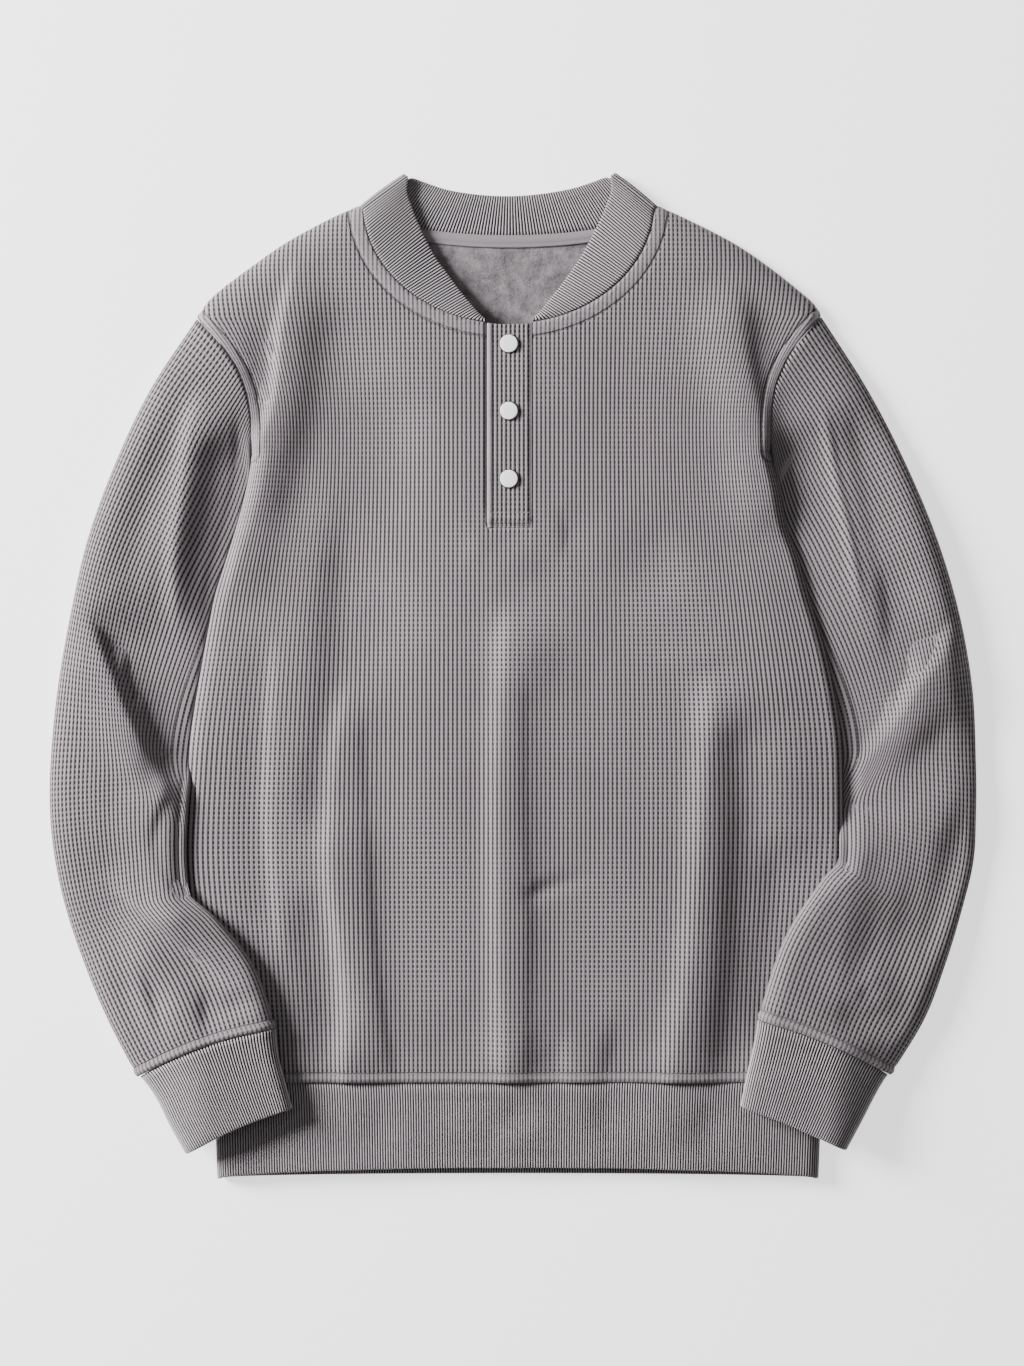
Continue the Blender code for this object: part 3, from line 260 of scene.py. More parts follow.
CollarRow = namedtuple("CollarRow", "angle x y")
COLLAR_EDGE = {     # free edge of the collar's two fronts, by the angle along the neck seam
    "right": rows_of(CollarRow, [
        (0, -0.0785, 0.3632), (10, -0.0767, 0.3503), (20, -0.0724, 0.3370),
        (30, -0.0659, 0.3215), (40, -0.0569, 0.3042), (50, -0.0468, 0.2898),
        (60, -0.0374, 0.2768), (70, -0.0280, 0.2653), (80, -0.0207, 0.2575),
    ]),
    "left": rows_of(CollarRow, [
        (0, 0.0734, 0.3640), (10, 0.0713, 0.3510), (20, 0.0664, 0.3370),
        (30, 0.0592, 0.3212), (40, 0.0497, 0.3038), (50, 0.0403, 0.2896),
        (60, 0.0312, 0.2772), (70, 0.0222, 0.2658), (80, 0.0150, 0.2578),
    ]),
}
COLLAR_BACK_EDGE = rows_of(CollarRow, [   # free edge of its back, from right to left
    (0, -0.0785, 0.3632), (30, -0.0684, 0.3590), (60, -0.0418, 0.3508), (90, -0.0029, 0.3474),
    (120, 0.0360, 0.3515), (150, 0.0626, 0.3594), (180, 0.0734, 0.3640),
])

Fold = namedtuple("Fold", "name height west east path")
# The fold tables are in millimetres. East is a fold's half-width to the left of its path, which
# is +X where the path runs down the shirt, and west the other one. A trough's height is below 0.
FRONT_FOLDS = fold_rows([
    ("shoulder fold, right side", 6.6, 6, 25,
     [(-151, 306), (-164, 251), (-169, 201), (-184, 152), (-197, 93), (-206, 42)]),
    ("chest valley, right side", -4.3, 27, 40,
     [(-115, 278), (-122, 237), (-134, 177), (-148, 125), (-158, 84)]),
    ("crease by the right armhole", -5.1, 15, 6,
     [(-176, 270), (-177, 227), (-182, 191), (-187, 162)]),
    ("right side dip", -3, 17, 6,
     [(-177, 40), (-181, -32), (-183, -90), (-179, -147), (-171, -210)]),
    ("right valley", -7, 19, 40,
     [(-105, 146), (-114, 94), (-118, 39), (-121, -21), (-129, -76), (-135, -131)]),
    ("right pleat", 6.6, 9, 27,
     [(-112, 9), (-124, -50), (-128, -100), (-127, -150), (-120, -210), (-117, -313)]),
    ("valley inside the right pleat", -1.3, 6, 17,
     [(-105, -12), (-104, -62), (-100, -120), (-95, -199), (-88, -254), (-78, -312)]),
    ("centre pleat", 6.6, 10, 32,
     [(1, 59), (-4, -11), (-7, -60), (-8, -110), (-6, -200), (-2, -313)]),
    ("valley by the centre pleat", -2, 8, 21,
     [(13, 20), (13, -60), (14, -110), (17, -170), (16, -230), (15, -313)]),
    ("centre pinch", -2.2, 6, 6,
     [(0, -136), (6, -150), (12, -157), (24, -153), (45, -148), (64, -147)]),
    ("left pleat", 8, 12, 40,
     [(148, 10), (143, -62), (138, -127), (132, -199), (123, -257), (113, -315)]),
    ("left valley", -6.2, 21, 22,
     [(160, -10), (164, -60), (166, -120), (164, -200), (158, -256), (154, -313)]),
    ("shoulder fold, left side", 8, 22, 13,
     [(154, 292), (164, 230), (174, 182), (182, 134), (192, 94)]),
    ("crease by the left armhole", -1.4, 7, 7, [(170, 262), (176, 221), (182, 191), (186, 165)]),
    ("chest ridge", 0.9, 9, 9, [(98, 16), (127, 10), (166, 20)]),
    ("chest hollow", -2, 29, 16, [(99, 121), (104, 82), (118, 44)]),
    ("dent beside the placket", -1.6, 6, 21, [(33, 126), (41, 100), (33, 78)]),
    ("swell under the placket", 1.5, 21, 18, [(-4, 100), (2, 82), (4, 62)]),
    ("pull from the placket's foot", 1.2, 8, 14, [(-21, 108), (-25, 94), (-27, 74)]),
    ("hem gather 1", -2, 31, 32, [(-44, -224), (-40, -265), (-38, -313)]),
    ("hem gather 2", -2.5, 21, 8, [(34, -245), (31, -275), (31, -313)]),
    ("hem gather 3", -3, 10, 24, [(79, -235), (75, -271), (66, -314)]),
    ("hem gather 4", 2, 10, 15, [(-162, -240), (-159, -275), (-157, -313)]),
    ("fall beside the right forearm", -7, 18, 14,
     [(-148, -147), (-140, -187), (-130, -227), (-124, -283)]),
    ("fall beside the left forearm", -7, 15, 40,
     [(192, -109), (194, -161), (188, -211), (182, -286)]),
    ("chest hollow, right side", -6.8, 29, 30, [(-90, 220), (-95, 160), (-100, 100)]),
    ("chest hollow, left side", -0.9, 27, 27, [(85, 220), (85, 170), (92, 120)]),
    ("left side swell", 1.6, 27, 31, [(178, 110), (188, 60), (196, 0), (201, -60), (203, -110)]),
    ("upper right ridge", 0.3, 10, 9, [(-127, 250), (-133, 180), (-133, 110), (-135, 50)]),
])
HEM_FOLDS = fold_rows([
    ("dip under the right cuff", -2.6, 16, 22, [(-190, -300), (-186, -330), (-180, -358)]),
    ("right swell", 1.6, 14, 16, [(-140, -296), (-134, -326), (-128, -352)]),
    ("right dip", -1.8, 14, 12, [(-100, -298), (-94, -325), (-82, -352)]),
    ("middle swell", 1.4, 12, 16, [(-42, -296), (-34, -320), (-22, -340)]),
    ("middle dip", -2, 10, 14, [(8, -296), (2, -316), (-10, -334)]),
    ("middle ridge", 1.4, 6, 7, [(-20, -338), (10, -330), (40, -334)]),
    ("left dip", -2.2, 10, 10, [(58, -298), (66, -318), (80, -340)]),
    ("left swell", 2, 16, 12, [(98, -296), (102, -322), (112, -350)]),
    ("dip by the left cuff", -2.4, 12, 14, [(142, -298), (140, -325), (136, -352)]),
])
SLEEVE_FOLDS = {
    "right": fold_rows([
        ("long trough", -7, 17, 21,
         [(-220, 227), (-232, 193), (-244, 159), (-259, 117), (-265, 82), (-265, 45), (-262, 18),
          (-256, -16)]),
        ("fold over the elbow", -12, 6, 34,
         [(-306, 50), (-294, 34), (-279, 6), (-270, -17), (-253, -49), (-239, -80), (-250, -105),
          (-253, -123), (-245, -143), (-230, -157), (-206, -178)]),
        ("inner crest", 6, 8, 16,
         [(-221, 209), (-230, 175), (-237, 128), (-242, 83), (-240, 38), (-233, 14)]),
        ("inner trough", -3.3, 4, 10,
         [(-200, 203), (-198, 169), (-202, 130), (-213, 91), (-220, 58), (-223, 25)]),
        ("elbow swell", 5, 22, 9,
         [(-312, 46), (-299, 16), (-283, -24), (-267, -53), (-254, -80), (-263, -110),
          (-265, -133)]),
        ("elbow ridge", 0.5, 4, 4, [(-259, -107), (-253, -119), (-249, -135), (-241, -146)]),
        ("forearm crease", -7, 22, 4,
         [(-300, -146), (-280, -164), (-254, -184), (-229, -202), (-200, -227)]),
        ("forearm crest", 3.6, 10, 7, [(-272, -148), (-250, -168), (-223, -186), (-198, -208)]),
        ("cuff dent 1", -3.8, 6, 13, [(-216, -218), (-219, -239), (-215, -262)]),
        ("cuff dent 2", -5.8, 6, 15, [(-267, -198), (-257, -230), (-247, -264)]),
        ("cuff hollow", -2.1, 10, 15, [(-200, -223), (-197, -248)]),
        ("low ground beside the body", -16.5, 34, 30,
         [(-200, 190), (-204, 140), (-216, 90), (-228, 45), (-237, 5), (-241, -30), (-243, -65),
          (-245, -105), (-245, -140), (-236, -175)]),
        ("sleeve crown", 7.6, 19, 38,
         [(-208, 226), (-232, 168), (-252, 101), (-264, 38), (-266, -40), (-262, -98)]),
        ("forearm hollow", -4.4, 19, 35, [(-237, -120), (-231, -170), (-223, -220), (-217, -270)]),
        ("forearm crown", 6.1, 24, 19, [(-286, -132), (-273, -183), (-257, -233), (-243, -282)]),
        ("outer slope", -4, 22, 30,
         [(-323, 60), (-331, -10), (-327, -80), (-313, -151), (-290, -221)]),
    ]),
    "left": fold_rows([
        ("inner crest", 2.8, 4, 4, [(222, 200), (232, 145), (241, 103), (249, 60), (252, 35)]),
        ("inner trough", -6, 12, 23, [(245, 207), (255, 151), (263, 101), (271, 56), (277, 21)]),
        ("fold over the elbow", -12, 34, 6,
         [(318, 48), (303, 28), (284, 2), (266, -25), (241, -60), (239, -78), (241, -105),
          (244, -123), (232, -138), (208, -160)]),
        ("elbow crest", 4.5, 6, 22,
         [(320, 34), (310, 12), (293, -8), (277, -35), (255, -66), (252, -90), (254, -115)]),
        ("elbow crease", -7, 17, 30, [(330, -17), (311, -46), (285, -73), (264, -89)]),
        ("elbow notch", -5.7, 8, 16, [(261, -113), (250, -125), (240, -134)]),
        ("forearm trough", -6.7, 28, 28,
         [(341, -95), (325, -133), (284, -174), (252, -196), (226, -214)]),
        ("cuff dent", -6.2, 19, 21, [(249, -227), (247, -247), (243, -269)]),
        ("cuff hollow", -2, 5, 10, [(254, -218), (252, -240)]),
        ("low ground beside the body", -16.5, 30, 34,
         [(197, 190), (203, 140), (213, 90), (226, 45), (238, 5), (244, -30), (247, -65),
          (247, -100), (245, -130), (232, -160)]),
        ("sleeve hollow", -1, 38, 35,
         [(235, 240), (257, 180), (275, 110), (289, 40), (295, -40), (291, -100)]),
        ("forearm hollow", -7, 40, 26, [(250, -100), (246, -152), (238, -202), (230, -272)]),
        ("forearm crown", 2.4, 12, 32, [(287, -130), (273, -181), (257, -231), (243, -280)]),
        ("outer slope", -3.2, 11, 8,
         [(321, 60), (329, -10), (327, -80), (313, -151), (290, -221)]),
        ("inner slope", -7, 7, 17, [(268, 90), (274, 40), (272, -5)]),
    ]),
}


# ---- the knit ------------------------------------------------------------------------------
SLIT_COLUMNS = 21            # half ribs of the front that the placket's slit takes out
HALF_PITCH = 0.0334 / SLIT_COLUMNS   # from a waffle rib's crest to the gap beside it
CELL = 0.00356               # from one waffle bar to the next
CREST = 0.00022              # how far a crest stands over the cloth's own surface
BAR_DEEP = 0.00010           # how far a bar sinks between two pits of a gap
PIT_DEEP = 0.00050
HEM_PITCH = 0.00188          # ribs of the trims
CUFF_PITCH = 0.00195
COLLAR_PITCH = 0.00203
RIB_STEPS = 4                # columns for each rib of a trim
CUFF_ROWS = 14               # rings along a trim's outer face
HEM_ROWS = 10
LAYER_ROWS = 4               # and along each of its hidden faces
TRIM_RELIEF = 0.00042        # how far a trim's ribs stand out and sink in
TRIM_CELL = 0.002            # length of a trim's knit that its material takes as one cell
BEND_STEPS = 5               # points round a doubled trim's fold
LAYER_GAP = 0.00008          # half the gap between a doubled trim's layers
SHOWN_DEPTH = 0.9            # share of a trim's thickness down to which its ribs stand out
BODY_WIDTH = 0.225           # half width at which the body's ribs stand evenly
RIB_EASE = (-0.036, -0.024, -0.012, 0.0, 0.012, 0.024, 0.036)  # run over which ribs turn
RIB_BEND = 3                 # power by which the ribs take up the sides' smoothed shape
RIB_EDGE = 14                # and the one by which the last of them take up their exact shape
COLUMN_ROUNDS = 60           # rounds that find where a column meets the neck or shoulder
COLUMN_SHY = 0.35            # share of a step within which no column stands beside an edge
ROW_SHY = 0.4                # and the same for a row below a column's end
INNER_EVERY = 8              # an inner skin has one row for so many cells
SAME_HEIGHT = 1e-6           # heights that differ by less are the same
BACK_ROWS = 90
BACK_STEP = 4                # half ribs from one column of the back to the next
NAP_DEEP = 0.00012           # how far the back's brushed side sinks in places
BAND = {"neck": 0.0100, "arm": 0.0072, "hem": 0.0070, "cuff": 0.0066}   # seam to topstitch
BAND_PUFF = {"neck": 0.00035, "arm": 0.0006, "hem": 0.0006, "cuff": 0.0008}
BAND_ROUND = 0.7             # a power below 1 makes a seam allowance rise steeply
CUFF_LIP = (0.0005, 0.0022)  # how far a cuff swells beside its seam, and how far down
HEM_LIP = (0.0004, 0.0025)
NO_SEAM = 9.0                # seam distance where there is no seam
FAR = 1.0                    # a distance past every seam
GROOVE = 0.0008
GROOVE_WIDTH = 0.0009
TINY = 1e-6

STITCH = 0.0027
STITCH_GAP = 0.0006
STITCH_THICK = 0.00042
STITCH_SIDES = 5
STITCH_RINGS = (0.22, 0.78)  # shares of a stitch where it is thickest
STITCH_WIDE = 0.62           # half its width and height, and how far it rises and how far its
STITCH_TALL = 0.5            # ends sink in, as shares of its thickness
STITCH_RISE = 0.35
STITCH_SINK = 0.4
THREAD_CELL = 0.001          # size of one cell of the thread's material


# ---- curves and forms ----------------------------------------------------------------------
def smooth(rows, count):
    """Rows read evenly from a Catmull-Rom curve through the given rows."""
    points = np.array(rows, dtype=float)
    ends = 2 * points[0] - points[1], 2 * points[-1] - points[-2]
    padded = np.vstack([ends[0], points, ends[1]])
    place = np.linspace(0, len(points) - 1, count)
    first = np.minimum(place.astype(int), len(points) - 2)
    part = (place - first)[:, None]
    a, b, c, d = (padded[first + step] for step in range(4))
    slope = (c - a) * part
    bend = (2 * a - 5 * b + 4 * c - d) * part ** 2
    twist = (3 * b - a - 3 * c + d) * part ** 3
    return 0.5 * (2 * b + slope + bend + twist)


def ease(value):
    """0 to 1 with flat ends."""
    value = np.clip(value, 0, 1)
    return value * value * (3 - 2 * value)


def rolled(distance, radius):
    """Quarter round: 0 at an edge, 1 from `radius` inside it."""
    part = 1 - np.clip(distance / radius, 0, 1)
    return np.sqrt(np.maximum(1 - part * part, 0))


def body_folds(x, y):
    """Height that the folds add to the front."""
    return held(fold_relief(FRONT_FOLDS, x, y), *FOLD_LIMITS["body"])


def sleeve_folds(side, x, y):
    """Height that the folds add to a sleeve."""
    return held(fold_relief(SLEEVE_FOLDS[side], x, y), *FOLD_LIMITS["sleeve"])


def held(value, low, high):
    """The value, eased so that it stays between the limits."""
    return np.where(value < 0, low * np.tanh(value / low), high * np.tanh(value / high))


def fold_relief(folds, x, y):
    """Sum of the folds at each x, y: each has its full height along its path and fades away
    from it."""
    relief = np.zeros_like(x)
    for fold in folds:
        path = smooth(fold.path, 4 * len(fold.path))
        runs = np.diff(path, axis=0)
        sizes = np.hypot(runs[:, 0], runs[:, 1])
        starts = np.concatenate([[0], np.cumsum(sizes)])
        nearest = np.full(x.shape, np.inf)
        across = np.zeros_like(x)
        along = np.zeros_like(x)
        for start, run, size, travelled in zip(path, runs, sizes, starts):
            share = np.clip(((x - start[0]) * run[0] + (y - start[1]) * run[1]) / size ** 2, 0, 1)
            off_x = x - start[0] - share * run[0]
            off_y = y - start[1] - share * run[1]
            away = np.hypot(off_x, off_y)
            closer = away < nearest
            nearest = np.where(closer, away, nearest)
            across = np.where(closer, run[0] * off_y - run[1] * off_x, across)
            along = np.where(closer, travelled + share * size, along)
        width = np.where(across > 0, fold.east, fold.west)
        ends = ease(np.minimum(along, starts[-1] - along) / min(FOLD_FADE, starts[-1] / 2))
        relief += fold.height * np.exp(-(nearest / width) ** 2) * ends
    return relief


ARM_POINTS = 60              # along an armhole where its curve is read by height
SIDE_POINTS = 120
SHOULDER_POINTS = 40


def armhole(side, share):
    """Point of the armhole seam, from 0 at the underarm to 1 at the shoulder."""
    first = SLEEVES[side][0]
    return bowed((first.in_x, first.in_y), (first.out_x, first.out_y), first.bow, share)


def bowed(start, end, bow, share):
    """Point at `share` of a line that bows towards the body's middle."""
    run_x, run_y = end[0] - start[0], end[1] - start[1]
    size = math.hypot(run_x, run_y)
    turn = 1 if run_x < 0 else -1
    lift = bow * np.sin(math.pi * share)
    x = start[0] + run_x * share + turn * lift * run_y / size
    y = start[1] + run_y * share - turn * lift * run_x / size
    return x, y


def side_edge(side, y):
    """X of the body's edge at each y, down the armhole and then the side."""
    share = np.linspace(0, 1, ARM_POINTS)
    arm_x, arm_y = armhole(side, share)
    rows = smooth([(row.y, getattr(row, side)) for row in SIDE_ROWS], SIDE_POINTS)
    below = rows[:, 0] < UNDERARM_Y - 0.001
    ys = np.concatenate([rows[below, 0][::-1], arm_y])
    xs = np.concatenate([rows[below, 1][::-1], arm_x])
    return np.interp(y, ys, xs)


def armhole_share(side, y):
    """How far along the armhole seam a height y lies, 0 below it."""
    share = np.linspace(0, 1, ARM_POINTS)
    return np.interp(y, armhole(side, share)[1], share)


def past_edge(side, x, y):
    """How far a point lies inside the body's side edge."""
    return INWARD[side] * (x - side_edge(side, y))


def shoulder_y(x):
    """The shoulder line, and its straight continuation over the neck."""
    right = smooth(SHOULDERS["right"], SHOULDER_POINTS)[::-1]
    left = smooth(SHOULDERS["left"], SHOULDER_POINTS)
    middle = np.array([[NECK_X, NECK_TOP + SHOULDER_SLOPE * NECK_HALF]])
    line = np.vstack([right, middle, left])
    return np.interp(x, line[:, 0], line[:, 1])


def neck_y(x, depth):
    """The neck seam: half an ellipse below the shoulder level."""
    part = np.clip((x - NECK_X) / NECK_HALF, -1, 1)
    return NECK_TOP - depth * np.sqrt(1 - part * part)


def rise(x, y):
    """0 where the front meets the back, 1 where it lies fully over it."""
    total = np.ones_like(x)
    for side in INWARD:
        share = armhole_share(side, y)
        at_edge = rolled(np.minimum(share, 1 - share) * ARM_SEAM, ARM_ROLL)
        inside = past_edge(side, x, y) - SEAM_GAP
        total = total * (at_edge + (1 - at_edge) * rolled(inside, SIDE_ROLL[side]))
    return total * rolled((shoulder_y(x) - y) * SHOULDER_FALL, SHOULDER_ROLL)


def crown(x, y):
    """Height of the front over its seams, with its folds."""
    middle = 1 - np.clip(np.abs(x) / BODY_HALF, 0, 1) ** 2
    return CROWN + CROWN_CENTRE * middle + body_folds(x, y)


def front_top(x, y):
    """Outer surface of the front."""
    return SEAM_LEVEL + crown(x, y) * rise(x, y)


def band_top(x):
    """Outer surface of the hem band, over which the front's folds run out."""
    y = np.full_like(x, HEM_Y)
    return HEM_HEIGHT + body_folds(x, y) / HEM_KEEP


def band_folds(x, y):
    """Height that the band's own puckers add."""
    return held(fold_relief(HEM_FOLDS, x, y), *FOLD_LIMITS["hem"])


def crossing(side, y):
    """0 where a sleeve lies beside the body, 1 where it lies over it."""
    return ease((CROSSING_Y[side] + CROSSING_RUN - y) / CROSSING_RUN)


def under_sleeve(side, x, y):
    """What a sleeve or cuff lies on: the floor, or the body and its hem band."""
    climb = ease((past_edge(side, x, y) + BRIDGE) / BRIDGE)
    body = SEAM_LEVEL + crown(x, np.maximum(y, HEM_Y))
    level = np.maximum(body, band_top(x)) + SLEEVE_CLEAR
    return crossing(side, y) * climb * level


def beneath(side, x, y):
    """The surface right under a sleeve: the floor, and past the body's edge its rolled front."""
    front = front_top(x, np.maximum(y, HEM_Y)) + SLEEVE_CLEAR
    return np.where(past_edge(side, x, y) > 0, crossing(side, y) * front, 0)


# ---- mesh tools ----------------------------------------------------------------------------
def stack(x, y, z):
    """Points from their three coordinates."""
    return np.stack([x, y, z], axis=-1)


def make_piece(name, points, triangles, uv, seams=None):
    """A mesh from arrays of points and triangles, with a UV for each point. `seams` tells how
    far each point lies from a seam, where 1 is the topstitch beside it."""
    mesh = bpy.data.meshes.new(name)
    mesh.vertices.add(len(points))
    mesh.vertices.foreach_set("co", np.asarray(points, np.float32).ravel())
    triangles = np.asarray(triangles, np.int32)
    mesh.loops.add(triangles.size)
    mesh.loops.foreach_set("vertex_index", triangles.ravel())
    mesh.polygons.add(len(triangles))
    mesh.polygons.foreach_set("loop_start", np.arange(0, triangles.size, 3, dtype=np.int32))
    mesh.update(calc_edges=True)
    away = np.full(len(points), NO_SEAM) if seams is None else np.clip(seams, -1, NO_SEAM)
    for layer_name, values in (("cloth", uv), ("seams", np.stack([away, away * 0], axis=1))):
        layer = mesh.uv_layers.new(name=layer_name)
        layer.uv.foreach_set("vector", np.asarray(values, np.float32)[triangles.ravel()].ravel())
    mesh.shade_smooth()
    mesh.validate()
    piece = bpy.data.objects.new(name, mesh)
    bpy.context.scene.collection.objects.link(piece)
    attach(piece, "root")
    return piece


def zip_columns(first, second, first_place, second_place):
    """Triangles between two columns of points, taken in the order of their places."""
    first, second = first.tolist(), second.tolist()
    first_place, second_place = first_place.tolist(), second_place.tolist()
    made = []
    i, j = 0, 0
    while i < len(first) - 1 or j < len(second) - 1:
        ahead = first_place[i + 1] if i < len(first) - 1 else math.inf
        beside = second_place[j + 1] if j < len(second) - 1 else math.inf
        if ahead <= beside:
            made.append((first[i], second[j], first[i + 1]))
            i += 1
        else:
            made.append((first[i], second[j], second[j + 1]))
            j += 1
    return made


def renumbered(total, used):
    """For each of `total` points the number of its twin, which comes after all of them."""
    number_of = np.full(total, -1)
    number_of[used] = total + np.arange(len(used))
    return number_of


def edge_pairs(triangles):
    """The edges that only one triangle uses, each in that triangle's order."""
    triangles = np.asarray(triangles)
    edges = np.concatenate([triangles[:, [0, 1]], triangles[:, [1, 2]], triangles[:, [2, 0]]])
    key = np.sort(edges, axis=1)
    key = key[:, 0].astype(np.int64) * (key.max() + 1) + key[:, 1]
    _, place, count = np.unique(key, return_index=True, return_counts=True)
    return edges[place[count == 1]]


def close_skins(outer, inner, twin):
    """Outer and inner triangles with a rim between them. `twin` gives each outer rim point's
    inner one."""
    rim = []
    for start, end in edge_pairs(outer):
        rim.append((end, start, twin[start]))
        rim.append((end, twin[start], twin[end]))
    return np.vstack([outer, np.asarray(inner)[:, ::-1], rim])


def quads(rows, columns, close_rows, close_columns):
    """Triangles of a grid that may be closed either way."""
    row = np.arange(rows if close_rows else rows - 1)[:, None]
    column = np.arange(columns if close_columns else columns - 1)[None, :]
    a = row * columns + column
    b = row * columns + (column + 1) % columns
    c = (row + 1) % rows * columns + (column + 1) % columns
    d = (row + 1) % rows * columns + column
    first = np.stack([a, b, c], axis=-1).reshape(-1, 3)
    second = np.stack([a, c, d], axis=-1).reshape(-1, 3)
    return np.vstack([first, second])


def faced_out(points, triangles):
    """The triangles, turned over if the closed form they make is inside out."""
    p = np.asarray(points, float)[np.asarray(triangles)]
    volume = np.einsum("ij,ij->i", p[:, 0], np.cross(p[:, 1], p[:, 2])).sum()
    return triangles if volume > 0 else np.asarray(triangles)[:, ::-1]


# ---- the front and back --------------------------------------------------------------------
def seam_relief(away, kind):
    """The turned seam allowance: puffed from the seam to the topstitch, which sinks."""
    width, puff = BAND[kind], BAND_PUFF[kind]
    inside = (away > 0) & (away < width)
    swell = np.where(inside, puff * np.sin(math.pi * np.clip(away / width, 0, 1)) ** BAND_ROUND, 0)
    return swell - GROOVE * np.exp(-((away - width) / GROOVE_WIDTH) ** 2)


def neck_distance(x, y):
    """How far a point lies outside the front neck seam."""
    part_x = (x - NECK_X) / NECK_HALF
    part_y = np.minimum(y - NECK_TOP, 0) / NECK_FRONT
    radius = np.hypot(part_x, part_y)
    slope = np.hypot(part_x / NECK_HALF, part_y / NECK_FRONT) / np.maximum(radius, TINY)
    return (radius - 1) / np.maximum(slope, TINY)


ARM_MARKS = 24               # along an armhole from which distances are measured
ARM_NEAR_X = 0.15            # nearer the middle, or further below the underarm than this, a
ARM_NEAR_BELOW = 0.01        # point is far from the armhole


def arm_distance(side, x, y):
    """How far a point of the body lies inside the armhole seam."""
    share = np.linspace(0, 1, ARM_MARKS)
    line_x, line_y = armhole(side, share)
    away = np.full(np.shape(x), FAR)
    for px, py in zip(line_x, line_y):
        away = np.minimum(away, np.hypot(x - px, y - py))
    return away


def front_seams(x, y):
    """Distance from the neck, the hem and the armholes, each in its own band's widths."""
    found = [neck_distance(x, y) / BAND["neck"], (y - HEM_Y) / BAND["hem"]]
    for side in INWARD:
        beside = (np.abs(x) > ARM_NEAR_X) & ((x < 0) == (side == "right"))
        near = (y > UNDERARM_Y - ARM_NEAR_BELOW) & beside
        away = np.full(np.shape(x), FAR)
        away[near] = arm_distance(side, x[near], y[near])
        found.append(away / BAND["arm"])
    return found


def front_detail(x, y):
    """Seams and topstitching of the front, over its form."""
    neck, hem, right, left = front_seams(x, y)
    relief = seam_relief(neck * BAND["neck"], "neck")
    relief += seam_relief(hem * BAND["hem"], "hem")
    for arm in (right, left):
        relief += seam_relief(arm * BAND["arm"], "arm")
    beside = np.exp(-((x - PLACKET_RIGHT + EDGE_WIDTH / 2) / EDGE_WIDTH) ** 2)
    return relief - EDGE_SINK * beside * ease((y - PLACKET_FOOT) / EDGE_RUN)


def moved_out(x, y, relief):
    """Points of the front's surface, moved by `relief` along its normal."""
    step = SLOPE_STEP
    slope_x = (front_top(x + step, y) - front_top(x - step, y)) / (2 * step)
    slope_y = (front_top(x, y + step) - front_top(x, y - step)) / (2 * step)
    size = np.sqrt(slope_x ** 2 + slope_y ** 2 + 1)
    z = front_top(x, y) + relief / size
    return stack(x - relief * slope_x / size, y - relief * slope_y / size, z)


def under_front(x, y):
    """The front's inner skin."""
    points = moved_out(x, y, -KNIT)
    x, y = points[:, 0], np.maximum(points[:, 1], HEM_Y + SEAM_GAP / 2)
    part = np.clip((NECK_TOP - y) / NECK_FRONT, -1, 1)
    reach = NECK_HALF * np.sqrt(1 - part ** 2)
    x = NECK_X + np.sign(x - NECK_X) * np.maximum(np.abs(x - NECK_X), reach * (y < NECK_TOP))
    return stack(x, y, np.maximum(points[:, 2], SEAM_LEVEL))


def rib_x(across, y):
    """X of the rib that stands `across` from the middle where the body's ribs are even."""
    part = across / BODY_WIDTH
    edge = half_width(part, y)
    soft = sum(half_width(part, y + shift) for shift in RIB_EASE) / len(RIB_EASE)
    size = np.abs(part)
    bend = (soft - BODY_WIDTH) * size ** RIB_BEND + (edge - soft) * size ** RIB_EDGE
    return across + np.sign(part) * bend


def half_width(part, y):
    """How far the body reaches at y, on the side that the sign of `part` tells."""
    right = -side_edge("right", np.minimum(y, TIP_Y["right"]))
    left = side_edge("left", np.minimum(y, TIP_Y["left"]))
    return np.where(part < 0, right, left) - SEAM_GAP


def column_top(across, depth):
    """Y where a rib ends, at the neck or the shoulder."""
    y = np.full_like(across, NECK_TOP)
    for _ in range(COLUMN_ROUNDS):
        x = rib_x(across, y)
        over_neck = np.abs(x - NECK_X) < NECK_HALF
        goal = np.where(over_neck, neck_y(x, depth), shoulder_y(x))
        y = 0.5 * y + 0.5 * goal
    return y


def body_columns(step, slit):
    """Place of each column across the body, with its number counted from `slit`."""
    first = math.ceil((-BODY_WIDTH - slit) / step + COLUMN_SHY)
    last = math.floor((BODY_WIDTH - slit) / step - COLUMN_SHY)
    numbers = np.arange(first, last + 1)
    across = slit + numbers * step
    across = np.concatenate([[-BODY_WIDTH], across, [BODY_WIDTH]])
    numbers = np.concatenate([[first - 1], numbers, [last + 1]])
    return across, numbers


def waffle_column(crest, bottom, end, foot):
    """Heights of a column's points, how far each rises, and which ones the inner skin keeps.
    `foot` is the placket's foot where the column runs beside the slit, and None elsewhere."""
    step = CELL if crest else CELL / 2
    rows = np.append(np.arange(bottom, end - step * ROW_SHY, step), end)
    rise_up = np.full(len(rows), CREST if crest else -BAR_DEEP)
    if not crest:
        rise_up[1::2] = -PIT_DEEP
    if foot is not None:
        rows[np.argmin(np.abs(rows - foot))] = foot
    tips = (rows < bottom + SAME_HEIGHT) | (rows > end - SAME_HEIGHT)
    rise_up[tips] = 0
    every = INNER_EVERY * (1 if crest else 2)
    return rows, rise_up, (np.arange(len(rows)) % every == 0) | tips


